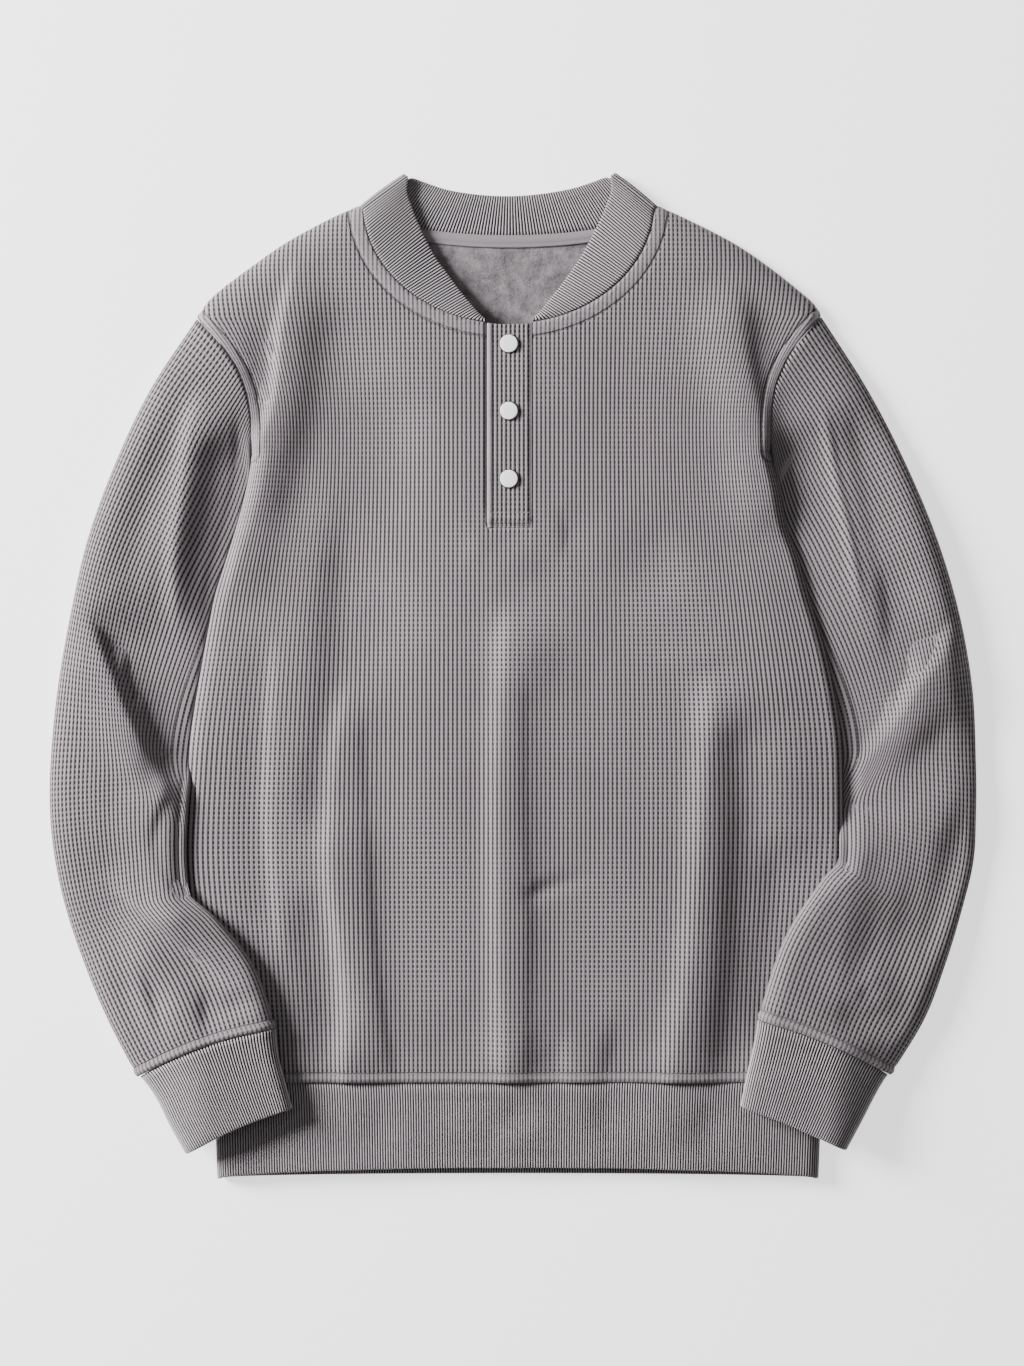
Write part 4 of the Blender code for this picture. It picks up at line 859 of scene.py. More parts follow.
def front_skin(columns, heights, in_slit, foot):
    """Triangles between the front's columns, which leave the slit open."""
    made = []
    for column in range(len(columns) - 1):
        ids, after = columns[column], columns[column + 1]
        at, at_after = heights[column], heights[column + 1]
        if in_slit[column] != in_slit[column + 1]:
            below, below_after = at <= foot + SAME_HEIGHT, at_after <= foot + SAME_HEIGHT
            ids, at = ids[below], at[below]
            after, at_after = after[below_after], at_after[below_after]
        made += zip_columns(ids, after, at, at_after)
    return np.array(made)


def make_front():
    """The front: a column of points on each rib and in each gap, with the placket's slit."""
    across, numbers = body_columns(HALF_PITCH, PLACKET_RIGHT - PLACKET_GAP)
    tops = column_top(across, NECK_FRONT)
    in_slit = (numbers > 0) & (numbers < SLIT_COLUMNS)
    beside = (numbers == 0) | (numbers == SLIT_COLUMNS)
    foot = PLACKET_FOOT - PLACKET_GAP
    bottom = HEM_Y + SEAM_GAP / 2
    columns, inner_columns, heights, inner_heights = [], [], [], []
    x, y, relief, cells = [], [], [], []
    total = 0
    for column, top in enumerate(tops):
        rows, rise_up, keep = waffle_column(numbers[column] % 2 == 0, bottom,
                                            foot if in_slit[column] else top,
                                            foot if beside[column] else None)
        if column in (0, len(tops) - 1):
            rise_up[:] = 0
            keep[:] = True
        keep |= beside[column]
        ids = np.arange(total, total + len(rows))
        columns.append(ids)
        heights.append(rows)
        inner_columns.append(ids[keep])
        inner_heights.append(rows[keep])
        x.append(rib_x(np.full(len(rows), across[column]), rows))
        y.append(rows)
        relief.append(rise_up)
        cells.append(np.stack([np.full(len(rows), numbers[column] / 2),
                               (rows - bottom) / CELL], axis=1))
        total += len(rows)
    x, y, relief, cells = (np.concatenate(parts) for parts in (x, y, relief, cells))
    outer = moved_out(x, y, relief + front_detail(x, y))
    used = np.concatenate(inner_columns)
    inner = under_front(x[used], y[used])
    number_of = renumbered(total, used)
    outer_skin = front_skin(columns, heights, in_slit, foot)
    inner_skin = front_skin(inner_columns, inner_heights, in_slit, foot)
    triangles = close_skins(outer_skin, number_of[inner_skin], number_of)
    points = np.vstack([outer, inner])
    uv = np.vstack([cells, cells[used]])
    seams = np.minimum.reduce(front_seams(x, y))
    seams = np.concatenate([seams, np.full(len(used), NO_SEAM)])
    return make_piece("front", points, faced_out(points, triangles), uv, seams)


def brushed_nap(x, y):
    """Small dips in the back's brushed side."""
    first = np.sin(x * 520 + 3 * np.sin(y * 210))
    second = np.sin(y * 610 + 2 * np.sin(x * 260))
    return np.minimum(NAP_DEEP * (first + second), 0)


def make_back():
    """The back lies flat on the floor with its brushed side up."""
    across, _ = body_columns(BACK_STEP * HALF_PITCH, NECK_X)
    tops = column_top(across, NECK_BACK)
    y = np.linspace(HEM_Y + SEAM_GAP / 2, tops, BACK_ROWS)
    x = rib_x(np.broadcast_to(across, y.shape), y)
    top = stack(x, y, KNIT + brushed_nap(x, y))
    under = stack(x, y, np.zeros_like(x))
    count = x.size
    skin = quads(BACK_ROWS, len(tops), False, False)
    points = np.vstack([top.reshape(-1, 3), under.reshape(-1, 3)])
    triangles = close_skins(skin, skin + count, np.arange(count) + count)
    cells = np.stack([points[:, 0] / (2 * HALF_PITCH), points[:, 1] / CELL], axis=1)
    return make_piece("back", points, faced_out(points, triangles), cells)


# ---- tubes ---------------------------------------------------------------------------------
PERIMETER_POINTS = 600       # along one side of a ring where its length is measured
TUBE_DENSE = 400             # places along a tube from which its rings are read
CLOSE_POWER = 2              # power by which the lap fades away across a sleeve


def perimeter(width, roll, rise_up, level, count):
    """Shares round a flattened tube, evenly spaced along its surface: from the inner edge over
    the top to the outer edge and back underneath. Also says which are on top."""
    fine = np.linspace(0, 1, PERIMETER_POINTS)
    near = np.minimum(fine, 1 - fine) * width
    under = max(min(level * UNDER_ROLL, roll), UNDER_LEAST)
    top_z = (rise_up - level) * rolled(near, roll)
    low_z = -level * rolled(near, under)
    share = np.concatenate([fine, fine[::-1][1:]])
    z = np.concatenate([top_z, low_z[::-1][1:]])
    length = np.concatenate([[0], np.cumsum(np.hypot(np.diff(share) * width, np.diff(z)))])
    at = np.linspace(0, length[-1], count, endpoint=False)
    upper = at <= length[len(fine) - 1]
    return np.interp(at, length, share), upper


def middle_line(sections):
    """The sections read densely along a tube, and the length along its middle to each."""
    dense = smooth(sections, TUBE_DENSE)
    middle = (dense[:, 0:2] + dense[:, 2:4]) / 2
    steps = np.hypot(*np.diff(middle, axis=0).T)
    return dense, np.concatenate([[0], np.cumsum(steps)])


def even_rows(sections, shares):
    """Sections at shares of the tube's length, and how far along the table each lies."""
    dense, length = middle_line(sections)
    at = np.asarray(shares) * length[-1]
    table = np.stack([np.interp(at, length, column) for column in dense.T], axis=1)
    return table, np.interp(at, length, np.linspace(0, len(sections) - 1, len(dense)))


def tube_grid(side, sections, shares, share, upper, inset, sleeve):
    """Rings of points at `shares` of a tube's length, with an inset for all, for each ring or
    for each point. A sleeve has folds and turned ribs, and leaves the front's height at the
    armhole. A cuff has none of these."""
    table, along = even_rows(sections, shares)
    rows, count = len(table), len(share)
    if sleeve:
        blend = np.repeat(ease(along / ARM_BLEND), count)
        share, upper = leant(share, upper, along)
    else:
        blend = 1.0
        share, upper = np.tile(share, rows), np.tile(upper, rows)
    ring = Section(*(np.repeat(column, count) for column in table.T))
    inset = np.broadcast_to(inset, (rows, count)).ravel()
    return tube_points(side, ring, share, upper, inset, blend, sleeve)


def leant(share, upper, along):
    """The ribs' places round a sleeve, ring by ring: they run outwards as far as the fold over
    the elbow and come back inwards past it."""
    place = np.arange(len(share)) / len(share)
    outer = np.mean(upper)
    free = np.where(upper, 1 - place / outer, (place - outer) / max(1 - outer, TINY))
    about = np.abs(np.where(upper, share, -share) + LEAN_SHARE * free)
    elbow = np.interp(about, ELBOW_SHARES, ELBOW_ROWS)
    row = along[:, None]
    outwards = ease((row - LEAN_START) / (elbow - LEAN_START))
    back = ease((row - elbow) / LEAN_BACK)
    turned = (place + LEAN * outwards * (1 - back) * free) % 1
    share = np.interp(turned, np.append(place, 1), np.append(share, 0))
    return share.ravel(), (turned <= outer).ravel()


def tube_points(side, ring, share, upper, inset, blend, sleeve):
    """Points of a flattened tube on what it lies on, at a share round it each."""
    sign = -INWARD[side]
    run_x, run_y = ring.out_x - ring.in_x, ring.out_y - ring.in_y
    width = np.hypot(run_x, run_y)
    under = np.maximum(np.minimum(ring.level * UNDER_ROLL, ring.roll), UNDER_LEAST)
    near = np.minimum(share, 1 - share) * width
    lift = np.where(upper, rolled(near, ring.roll), rolled(near, under))
    part = (inset + share * (width - 2 * inset)) / width
    bow = ring.bow * np.sin(math.pi * part)
    x = ring.in_x + run_x * part - sign * bow * run_y / width
    y = ring.in_y + run_y * part + sign * bow * run_x / width
    # the inner edge laps under the body's edge, as far down as CLOSE_END
    apart = np.maximum(CLOSE_LAP - past_edge(side, ring.in_x, ring.in_y), 0)
    closed = ease((ring.in_y - CLOSE_END[side]) / CLOSE_RUN) * blend
    x = x - sign * apart * closed * (1 - part) ** CLOSE_POWER
    # beside the body no point passes its edge by more than the lap
    below_arm = ease((UNDERARM_Y - y) / BESIDE_RUN)
    gap = BESIDE_GAP * below_arm - CLOSE_LAP * crossing(side, y) + inset
    limit = side_edge(side, y) + sign * gap
    outside = np.maximum(x * sign, limit * sign) * sign
    x = np.where(crossing(side, y) < 1, outside, x)
    # heights: the crest, which starts from the front's at the armhole, and the lowest line,
    # which lies lower along the inner edge
    base = under_sleeve(side, x, y)
    crest = base + ring.height + (sleeve_folds(side, x, y) if sleeve else 0)
    seam = SEAM_LEVEL + crown(x, y)
    crest = seam + (crest - seam) * blend
    low_side = (1 - ease(part / INNER_SHARE)) * closed
    low = base + (beneath(side, x, y) - base) * low_side
    mid = low + ring.level * (1 - INNER_DROP * low_side)
    top = mid + (crest - inset - mid) * lift
    bottom = mid - (mid - low - np.maximum(inset, 0)) * lift
    return stack(x, y, np.where(upper, top, bottom))


def make_sleeve(side):
    """A waffle tube: its columns follow the ribs from the armhole to the cuff."""
    around = 4 * round(SLEEVE_GIRTH / (4 * HALF_PITCH))
    share, upper = perimeter(*SLEEVE_FORM, around)
    length = middle_line(SLEEVES[side])[1][-1]
    cells = round(length / CELL)
    fine = np.arange(2 * cells + 1) / (2 * cells)
    rows = len(fine)
    in_gap = np.arange(around) % 2 == 1
    row = np.arange(rows)
    gap_depth = np.where(row % 2 == 1, -PIT_DEEP, -BAR_DEEP)
    from_cuff = (1 - fine) * length
    relief = np.where(in_gap[None, :], gap_depth[:, None], CREST)
    relief = relief + seam_relief(from_cuff, "cuff")[:, None]
    relief[0] = relief[-1] = 0
    outer = tube_grid(side, SLEEVES[side], fine, share, upper, -relief, True)
    inner = tube_grid(side, SLEEVES[side], fine, share, upper, KNIT, True)
    ids = np.arange(rows * around).reshape(rows, around)
    inner_rows = np.unique(np.append(np.arange(0, rows, 2 * INNER_EVERY), rows - 1))
    outer_skin, inner_skin = [], []
    for column in range(around):
        after = (column + 1) % around
        at, at_after = (row if in_gap[place] else row[::2] for place in (column, after))
        outer_skin += zip_columns(ids[at, column], ids[at_after, after], at, at_after)
        inner_skin += zip_columns(ids[inner_rows, column], ids[inner_rows, after],
                                  inner_rows, inner_rows)
    used = np.unique(inner_skin)
    number_of = renumbered(rows * around, used)
    triangles = close_skins(np.array(outer_skin), number_of[np.array(inner_skin)], number_of)
    points = np.vstack([outer, inner[used]])
    uv = np.stack([np.tile(np.arange(around) / 2, rows), np.repeat(row / 2, around)], axis=1)
    uv = np.vstack([uv, uv[used]])
    seams = np.repeat(from_cuff / BAND["cuff"], around)
    seams = np.concatenate([seams, np.full(len(used), NO_SEAM)])
    kept, triangles = drop_loose(points, triangles)
    return make_piece(f"{side}_sleeve", points[kept], faced_out(points[kept], triangles), uv[kept],
                      seams[kept])


def drop_loose(points, triangles):
    """Numbers of the points that triangles use, and the triangles renumbered."""
    kept = np.unique(triangles)
    number_of = np.full(len(points), -1)
    number_of[kept] = np.arange(len(kept))
    return kept, number_of[np.asarray(triangles)]


# ---- doubled trims -------------------------------------------------------------------------
def turned_path(rows, length, thickness):
    """Share along a doubled trim and inset from its face: out to its fold, round it and back,
    then down and up between its two layers."""
    radius = thickness / 2
    straight = (length - radius) / length
    out = [(share, 0.0) for share in np.linspace(0, straight, rows)]
    bend = [(straight + (1 - straight) * math.sin(angle), radius * (1 - math.cos(angle)))
            for angle in bend_angles()]
    back = [(share, thickness) for share in np.linspace(straight, 0, LAYER_ROWS)]
    inside = [(share, radius + LAYER_GAP) for share in np.linspace(0, straight, LAYER_ROWS)]
    outside = [(share, radius - LAYER_GAP) for share in np.linspace(straight, 0, LAYER_ROWS)]
    return np.array(out + bend + back + inside + outside)


def bend_angles():
    """Angles of the points between the two ends of a trim's half-round fold."""
    return np.linspace(0, math.pi, BEND_STEPS + 2)[1:-1]


def trim_relief(path, rows, length, around, lip):
    """How far each point of a trim stands out: the ribs of its outer face and fold, and the
    swelling beside its seam."""
    wave = np.cos(np.arange(around) / RIB_STEPS * 2 * math.pi)
    shown = (path[:, 1] < RIB * SHOWN_DEPTH) & (np.arange(len(path)) < rows + BEND_STEPS)
    swell = lip[0] * np.exp(-(path[:, 0] * length / lip[1]) ** 2)
    return (TRIM_RELIEF * wave[None, :] + swell[:, None]) * shown[:, None]


def make_trim(name, points, path, length, around):
    """A trim's piece from its rings of points."""
    triangles = quads(len(path), around, True, True)
    uv = np.stack([np.tile(np.arange(around) / RIB_STEPS, len(path)),
                   np.repeat(path[:, 0] * length / TRIM_CELL, around)], axis=1)
    return make_piece(name, points, faced_out(points, triangles), uv)


def make_cuff(side):
    """A rib tube, folded double at its open end."""
    length = middle_line(CUFFS[side])[1][-1]
    around = round(CUFF_GIRTH / CUFF_PITCH) * RIB_STEPS
    share, upper = perimeter(*CUFF_FORM, around)
    path = turned_path(CUFF_ROWS, length, RIB)
    inset = path[:, 1:] - trim_relief(path, CUFF_ROWS, length, around, CUFF_LIP)
    points = tube_grid(side, CUFFS[side], path[:, 0], share, upper, inset, False)
    return make_trim(f"{side}_cuff", points, path, length, around)


def make_hem_band():
    """The rib band at the hem, folded double at its lower edge."""
    start_y = HEM_Y - SEAM_GAP / 2
    length = start_y - HEM_SIDE_Y
    around = round(HEM_GIRTH / HEM_PITCH) * RIB_STEPS
    share, upper = perimeter(*HEM_FORM, around)
    path = turned_path(HEM_ROWS, length, RIB)
    insets = path[:, 1:] - trim_relief(path, HEM_ROWS, length, around, HEM_LIP)
    under = max(HEM_LEVEL * UNDER_ROLL, UNDER_LEAST)
    grid = []
    for share_down, inset in zip(path[:, 0], insets):
        side_y = start_y - length * share_down
        right, left = (float(side_edge(side, side_y)) for side in INWARD)
        right, left = right + SEAM_GAP, left - SEAM_GAP
        near = np.minimum(share, 1 - share) * (left - right)
        lift = np.where(upper, rolled(near, HEM_ROLL), rolled(near, under))
        x = right + inset + share * (left - right - 2 * inset)
        arc = np.sin(math.pi * share) ** HEM_ARC * share_down
        y = side_y + arc * (np.where(upper, HEM_FRONT_Y, HEM_BACK_Y) - HEM_SIDE_Y)
        top = HEM_LEVEL + (band_top(x) + band_folds(x, y) - inset - HEM_LEVEL) * lift
        bottom = HEM_LEVEL - (HEM_LEVEL - np.maximum(inset, 0)) * lift
        grid.append(stack(x, y, np.where(upper, top, bottom)))
    return make_trim("hem_rib", np.concatenate(grid), path, length, around)


# ---- collar, tape, placket and caps --------------------------------------------------------
EDGE_DENSE = 60              # places along a free edge from which it is read
COLLAR_ROWS = (14, 7, 5)     # points across the collar's outer face, inner face and each layer
COLLAR_CELLS = 16            # cells of its material across it
COLLAR_SHORT = 0.4           # most of the width that the fold along its free edge takes up


def collar_front(side):
    """Seam point, free edge and normal of each section of one front, from the placket to the
    fold beside the neck."""
    sign = -INWARD[side]
    half, front = NECK_HALF - NECK_GAP, NECK_FRONT - NECK_GAP
    edge = smooth(COLLAR_EDGE[side], EDGE_DENSE)
    angles = np.linspace(COLLAR_END_ANGLE, COLLAR_FIRST_ANGLE, COLLAR_FRONT_SECTIONS)
    seam_x = NECK_X + sign * half * np.cos(np.radians(angles))
    seam_y = NECK_TOP - front * np.sin(np.radians(angles))
    seam_z = front_top(seam_x, seam_y)
    free_x = np.interp(angles, edge[:, 0], edge[:, 1])
    free_y = np.interp(angles, edge[:, 0], edge[:, 2])
    settle = ease((angles - COLLAR_SETTLE[0]) / COLLAR_SETTLE[1])
    free_z = COLLAR_FREE_LEVEL + (seam_z - COLLAR_FREE_LEVEL) * settle
    seam, free = stack(seam_x, seam_y, seam_z), stack(free_x, free_y, free_z)
    return [(*start, *end, 0.0, 0.0, 1.0) for start, end in zip(seam, free)]


def collar_fold(side):
    """The same for the half round in which the collar folds over beside the neck."""
    sign = -INWARD[side]
    corner = np.array([NECK_X + sign * NECK_HALF, NECK_TOP])
    tip = np.array(COLLAR_EDGE[side][0][1:])
    along = (tip - corner) / np.linalg.norm(tip - corner)
    corner = corner - along * COLLAR_TUCK
    out = np.array([along[1], -along[0]]) * sign
    if out[1] < 0:
        out = -out
    fold = []
    for angle in COLLAR_FOLD_ANGLES:
        level, height = math.cos(math.radians(angle)), math.sin(math.radians(angle))
        back = out * COLLAR_FOLD_RADIUS * (level - 1)
        z = COLLAR_FOLD_RADIUS * (1 + height)
        fold.append((*(corner + back), z, *(tip + back), z, *(out * level), height))
    return fold


def collar_sections():
    """Seam point, free edge and normal of each section round the whole collar."""
    right, left = (collar_front(side) + collar_fold(side) for side in INWARD)
    edge = smooth(COLLAR_BACK_EDGE, EDGE_DENSE)
    half = NECK_HALF - NECK_GAP
    back = []
    for angle in np.linspace(COLLAR_BACK_ANGLE, 180 - COLLAR_BACK_ANGLE, COLLAR_BACK_SECTIONS):
        back.append((NECK_X - half * math.cos(math.radians(angle)),
                     NECK_TOP + NECK_GAP - NECK_BACK * math.sin(math.radians(angle)), 0.0,
                     np.interp(angle, edge[:, 0], edge[:, 1]),
                     np.interp(angle, edge[:, 0], edge[:, 2]), 0.0, 0.0, 0.0, -1.0))
    return right + back + left[::-1]


def collar_profile(gap):
    """Round the collar's band: share across it, how far the fold reaches out, and how far down
    the band's thickness each point lies, in radii of the fold."""
    outer, inner, layer = COLLAR_ROWS
    profile = [(share, 0.0, 0.0) for share in np.linspace(0, 1, outer)]
    profile += [(1.0, math.sin(angle), 1 - math.cos(angle)) for angle in bend_angles()]
    profile += [(share, 0.0, 2.0) for share in np.linspace(1, 0, inner)]
    profile += [(share, 0.0, 1 + gap) for share in np.linspace(0, 1, layer)]
    profile += [(share, 0.0, 1 - gap) for share in np.linspace(1, 0, layer)]
    return profile


def make_collar():
    """A doubled rib band: seam inside its lower edge, fold along its free one."""
    dense = smooth(collar_sections(), COLLAR_DENSE)
    middle = (dense[:, 0:3] + dense[:, 3:6]) / 2
    length = np.concatenate([[0], np.cumsum(np.linalg.norm(np.diff(middle, axis=0), axis=1))])
    count = round(length[-1] / COLLAR_PITCH) * RIB_STEPS
    at = np.linspace(0, length[-1], count + 1)
    table = np.stack([np.interp(at, length, column) for column in dense.T], axis=1)
    seam, free, normal = table[:, 0:3], table[:, 3:6], table[:, 6:9]
    normal = normal / np.linalg.norm(normal, axis=1)[:, None]
    run = free - seam
    width = np.linalg.norm(run, axis=1)[:, None]
    along = run / width
    wave = np.cos(np.arange(count + 1) / RIB_STEPS * 2 * math.pi)[:, None]
    radius = RIB / 2
    short = np.minimum(radius, width * COLLAR_SHORT)
    gap = LAYER_GAP / radius
    profile = collar_profile(gap)
    rings = []
    for share, reach, fall in profile:
        puff = COLLAR_PUFF * math.sin(math.pi * share) * (1 - fall / 2)
        hidden = abs(fall - 1) < 1.5 * gap
        relief = TRIM_RELIEF * wave * (0 if hidden else 1 - fall)
        place = seam + along * ((width - short) * share + short * reach)
        rings.append(place + normal * (puff - fall * radius + relief))
    points = np.array(rings).transpose(1, 0, 2)
    points[..., 2] = np.maximum(points[..., 2], 0)
    sections, loop = points.shape[:2]
    triangles = [quads(sections, loop, False, True)]
    for end in (0, sections - 1):
        rim = [Vector(point) for point in points[end]]
        triangles.append(np.array(tessellate_polygon([rim])) + end * loop)
    triangles = np.vstack(triangles)
    across = [share * COLLAR_CELLS + fall for share, _, fall in profile]
    uv = np.stack([np.repeat(np.arange(sections) / RIB_STEPS, loop), np.tile(across, sections)],
                  axis=1)
    flat = points.reshape(-1, 3)
    return make_piece("collar_rib", flat, faced_out(flat, triangles), uv)


def slab(name, outer, inner, uv):
    """A closed strip between two grids."""
    rows, columns = outer.shape[:2]
    skin = quads(rows, columns, False, False)
    count = rows * columns
    points = np.vstack([outer.reshape(-1, 3), inner.reshape(-1, 3)])
    triangles = close_skins(skin, skin + count, np.arange(count) + count)
    cells = uv.reshape(-1, 2)
    return make_piece(name, points, faced_out(points, triangles), np.vstack([cells, cells]))


def bell(distance, width):
    """1 at a line, fading away over `width` on both sides of it."""
    return np.exp(-(distance / width) ** 2)


def make_neck_tape():
    """The tape inside the back neck, with two sunk stitched lines."""
    angles = np.linspace(TAPE_ANGLE, 180 - TAPE_ANGLE, TAPE_POINTS)
    x = NECK_X - NECK_HALF * np.cos(np.radians(angles))
    top = NECK_TOP - NECK_BACK * np.sin(np.radians(angles)) + TAPE_TUCK
    x, share = np.meshgrid(x, np.linspace(0, 1, TAPE_ROWS), indexing="ij")
    y = top[:, None] - NECK_TAPE_WIDTH * share
    low = KNIT + LAY_GAP
    swell = TAPE_CROWN * np.sin(math.pi * share) ** TAPE_ROUND
    groove = TAPE_GROOVE * sum(bell(share - line, TAPE_LINE_WIDTH) for line in TAPE_LINES)
    outer = stack(x, y, low + TAPE + swell - groove)
    inner = stack(x, y, np.full_like(x, low))
    uv = np.stack([x / TAPE_YARN, share * TAPE_CELLS], axis=-1)
    return slab("neck_band", outer, inner, uv)


def placket_grid(right, left, foot, columns, rows):
    """X and y of a strip's points, from its foot to the neck seam."""
    x = np.linspace(right, left, columns)
    end = neck_y(x, NECK_FRONT) - PLACKET_GAP
    share = np.linspace(0, 1, rows)[:, None]
    y = foot + (end[None, :] - foot) * share
    return np.broadcast_to(x, y.shape).copy(), y


PLACKET_COLUMNS, PLACKET_ROWS = 44, 165
UNDER_COLUMNS, UNDER_ROWS = 24, 60
PLACKET_EASE = 0.8           # share of its gap that the upper strip takes up
PLACKET_KNIT = 0.9           # share of the front's waffle relief that its waffle has
EDGE_LIP = (0.0022, 0.0016, 0.0005)      # place, width and height of the swell by a free edge
SEWN_LINE = (0.0012, 0.0007)             # place and width of the groove by the sewn edge
FOOT_LINES, FOOT_LINE_WIDTH = (0.0017, 0.0102), 0.0008
FOOT_LINE_DEEP = 0.0006
FOOT_LIP = (0.006, 0.003, 0.0005)        # the swell between the foot's two lines
FREE_ROUND = 0.0011          # rounding of the free edge
SEWN_RUN, FOOT_RUN = 0.0045, 0.006       # over which it rises from the front's level
PLACKET_SINK = 0.0001        # how far it stands over it at its sewn edges
SNAP_SAG, SNAP_SAG_WIDTH = 0.0006, 0.008     # how far it sags round a snap
SAG_RUN = 0.01               # the sag fades away so near its edges


def make_placket_top():
    """The upper placket: waffle ribs between a folded edge and a stitched one."""
    left = PLACKET_LEFT + PLACKET_GAP * PLACKET_EASE
    foot = PLACKET_FOOT - PLACKET_GAP * PLACKET_EASE
    x, y = placket_grid(PLACKET_RIGHT, left, foot, PLACKET_COLUMNS, PLACKET_ROWS)
    from_free, from_sewn, from_foot = x - PLACKET_RIGHT, left - x, y - PLACKET_FOOT
    part = np.maximum(from_free - FOLDED_EDGE, 0) / (2 * HALF_PITCH)
    wave = np.cos(2 * math.pi * part)
    in_pit = 0.5 - 0.5 * np.cos(math.pi * from_foot / CELL * 2)
    sunk = BAR_DEEP + (PIT_DEEP - BAR_DEEP) * in_pit
    relief = PLACKET_KNIT * np.where(wave > 0, CREST * wave, wave * sunk)
    relief += EDGE_LIP[2] * bell(from_free - EDGE_LIP[0], EDGE_LIP[1])
    relief -= GROOVE * bell(from_sewn - SEWN_LINE[0], SEWN_LINE[1])
    for line in FOOT_LINES:
        relief -= FOOT_LINE_DEEP * bell(from_foot - line, FOOT_LINE_WIDTH)
    relief += FOOT_LIP[2] * bell(from_foot - FOOT_LIP[0], FOOT_LIP[1])
    fall = (1 - rolled(from_free, FREE_ROUND)) * FREE_ROUND
    raised = ease(from_sewn / SEWN_RUN) * ease(from_foot / FOOT_RUN)
    fall += (PLACKET_PROUD - PLACKET_SINK) * (1 - raised)
    sag = SNAP_SAG * sum(bell(y - snap, SNAP_SAG_WIDTH) for snap in SNAP_YS)
    sag = sag * ease(from_free / SAG_RUN) * ease(from_sewn / SAG_RUN)
    outer = stack(x, y, front_top(x, y) + PLACKET_PROUD + relief - fall - sag)
    inner = stack(x, y, front_top(x, y) + PLACKET_PROUD - PLACKET_WALL)
    uv = np.stack([part, from_foot / CELL], axis=-1)
    return slab("placket_top", outer, inner, uv)


def make_placket_below():
    """The under placket, which shows only along the opening."""
    x, y = placket_grid(PLACKET_RIGHT, PLACKET_LEFT - PLACKET_GAP / 2, PLACKET_FOOT,
                        UNDER_COLUMNS, UNDER_ROWS)
    level = front_top(x, y) + PLACKET_PROUD - PLACKET_WALL - LAY_GAP
    outer = stack(x, y, level)
    inner = stack(x, y, level - KNIT)
    uv = np.stack([(x - PLACKET_RIGHT) / (2 * HALF_PITCH), (y - PLACKET_FOOT) / CELL], axis=-1)
    return slab("placket_below", outer, inner, uv)


CapRing = namedtuple("CapRing", "radius height")
CAP_PROFILE = rows_of(CapRing, [     # from the middle of the face to the middle of the back
    (0.0, 0.00172), (0.0026, 0.00171), (0.0048, 0.00169), (0.0052, 0.00164), (0.0056, 0.00168),
    (0.0060, 0.00160), (0.0062, 0.00144), (0.00628, 0.00110), (0.00628, 0.00060),
    (0.0070, 0.00050), (0.0070, 0.00010), (0.0068, 0.0), (0.0, 0.0),
])


def make_cap(number, y):
    """A snap cap: a flat disc with a raised rim, on a dark socket ring."""
    spread = np.linspace(-SNAP_RADIUS, SNAP_RADIUS, SNAP_MARKS)
    near_x, near_y = np.meshgrid(SNAP_X + spread, y + spread)
    seat = float(front_top(near_x, near_y).max()) + PLACKET_PROUD + LAY_GAP - SNAP_SINK
    turns = np.linspace(0, 2 * math.pi, SNAP_SIDES, endpoint=False)
    face, *rings, back = CAP_PROFILE
    points = [stack(SNAP_X + ring.radius * np.cos(turns), y + ring.radius * np.sin(turns),
                    np.full(SNAP_SIDES, seat + ring.height)) for ring in rings]
    points += [[[SNAP_X, y, seat + face.height]], [[SNAP_X, y, seat + back.height]]]
    points = np.vstack(points)
    count = len(rings) * SNAP_SIDES
    last = count - SNAP_SIDES
    fans = [(count, (k + 1) % SNAP_SIDES, k) for k in range(SNAP_SIDES)]
    fans += [(count + 1, last + k, last + (k + 1) % SNAP_SIDES) for k in range(SNAP_SIDES)]
    triangles = np.vstack([quads(len(rings), SNAP_SIDES, False, True), fans])
    uv = points[:, :2] / SNAP_CELL
    return make_piece(f"cap_{number}", points, faced_out(points, triangles), uv)


# ---- stitches ------------------------------------------------------------------------------
def stitch(start, end):
    """Points of one stitch: a spindle with two rings between its sunk ends."""
    run = end - start
    size = np.linalg.norm(run)
    run = run / size
    aside = np.cross(run, (0.0, 0.0, 1.0))
    aside = aside / max(np.linalg.norm(aside), TINY)
    up = np.cross(aside, run)
    points = [start - up * STITCH_THICK * STITCH_SINK]
    for at in STITCH_RINGS:
        centre = start + run * size * at
        for turn in range(STITCH_SIDES):
            angle = 2 * math.pi * turn / STITCH_SIDES
            rise_up = STITCH_RISE + math.sin(angle) * STITCH_TALL
            points.append(centre + STITCH_THICK * (aside * math.cos(angle) * STITCH_WIDE
                                                   + up * rise_up))
    points.append(end - up * STITCH_THICK * STITCH_SINK)
    return points


def stitch_skin():
    """Triangles of one stitch."""
    made = []
    last = 2 * STITCH_SIDES + 1
    for turn in range(STITCH_SIDES):
        first, second = 1 + turn, 1 + (turn + 1) % STITCH_SIDES
        third, fourth = first + STITCH_SIDES, second + STITCH_SIDES
        made += [(0, second, first), (first, second, fourth), (first, fourth, third),
                 (third, fourth, last)]
    return np.array(made)


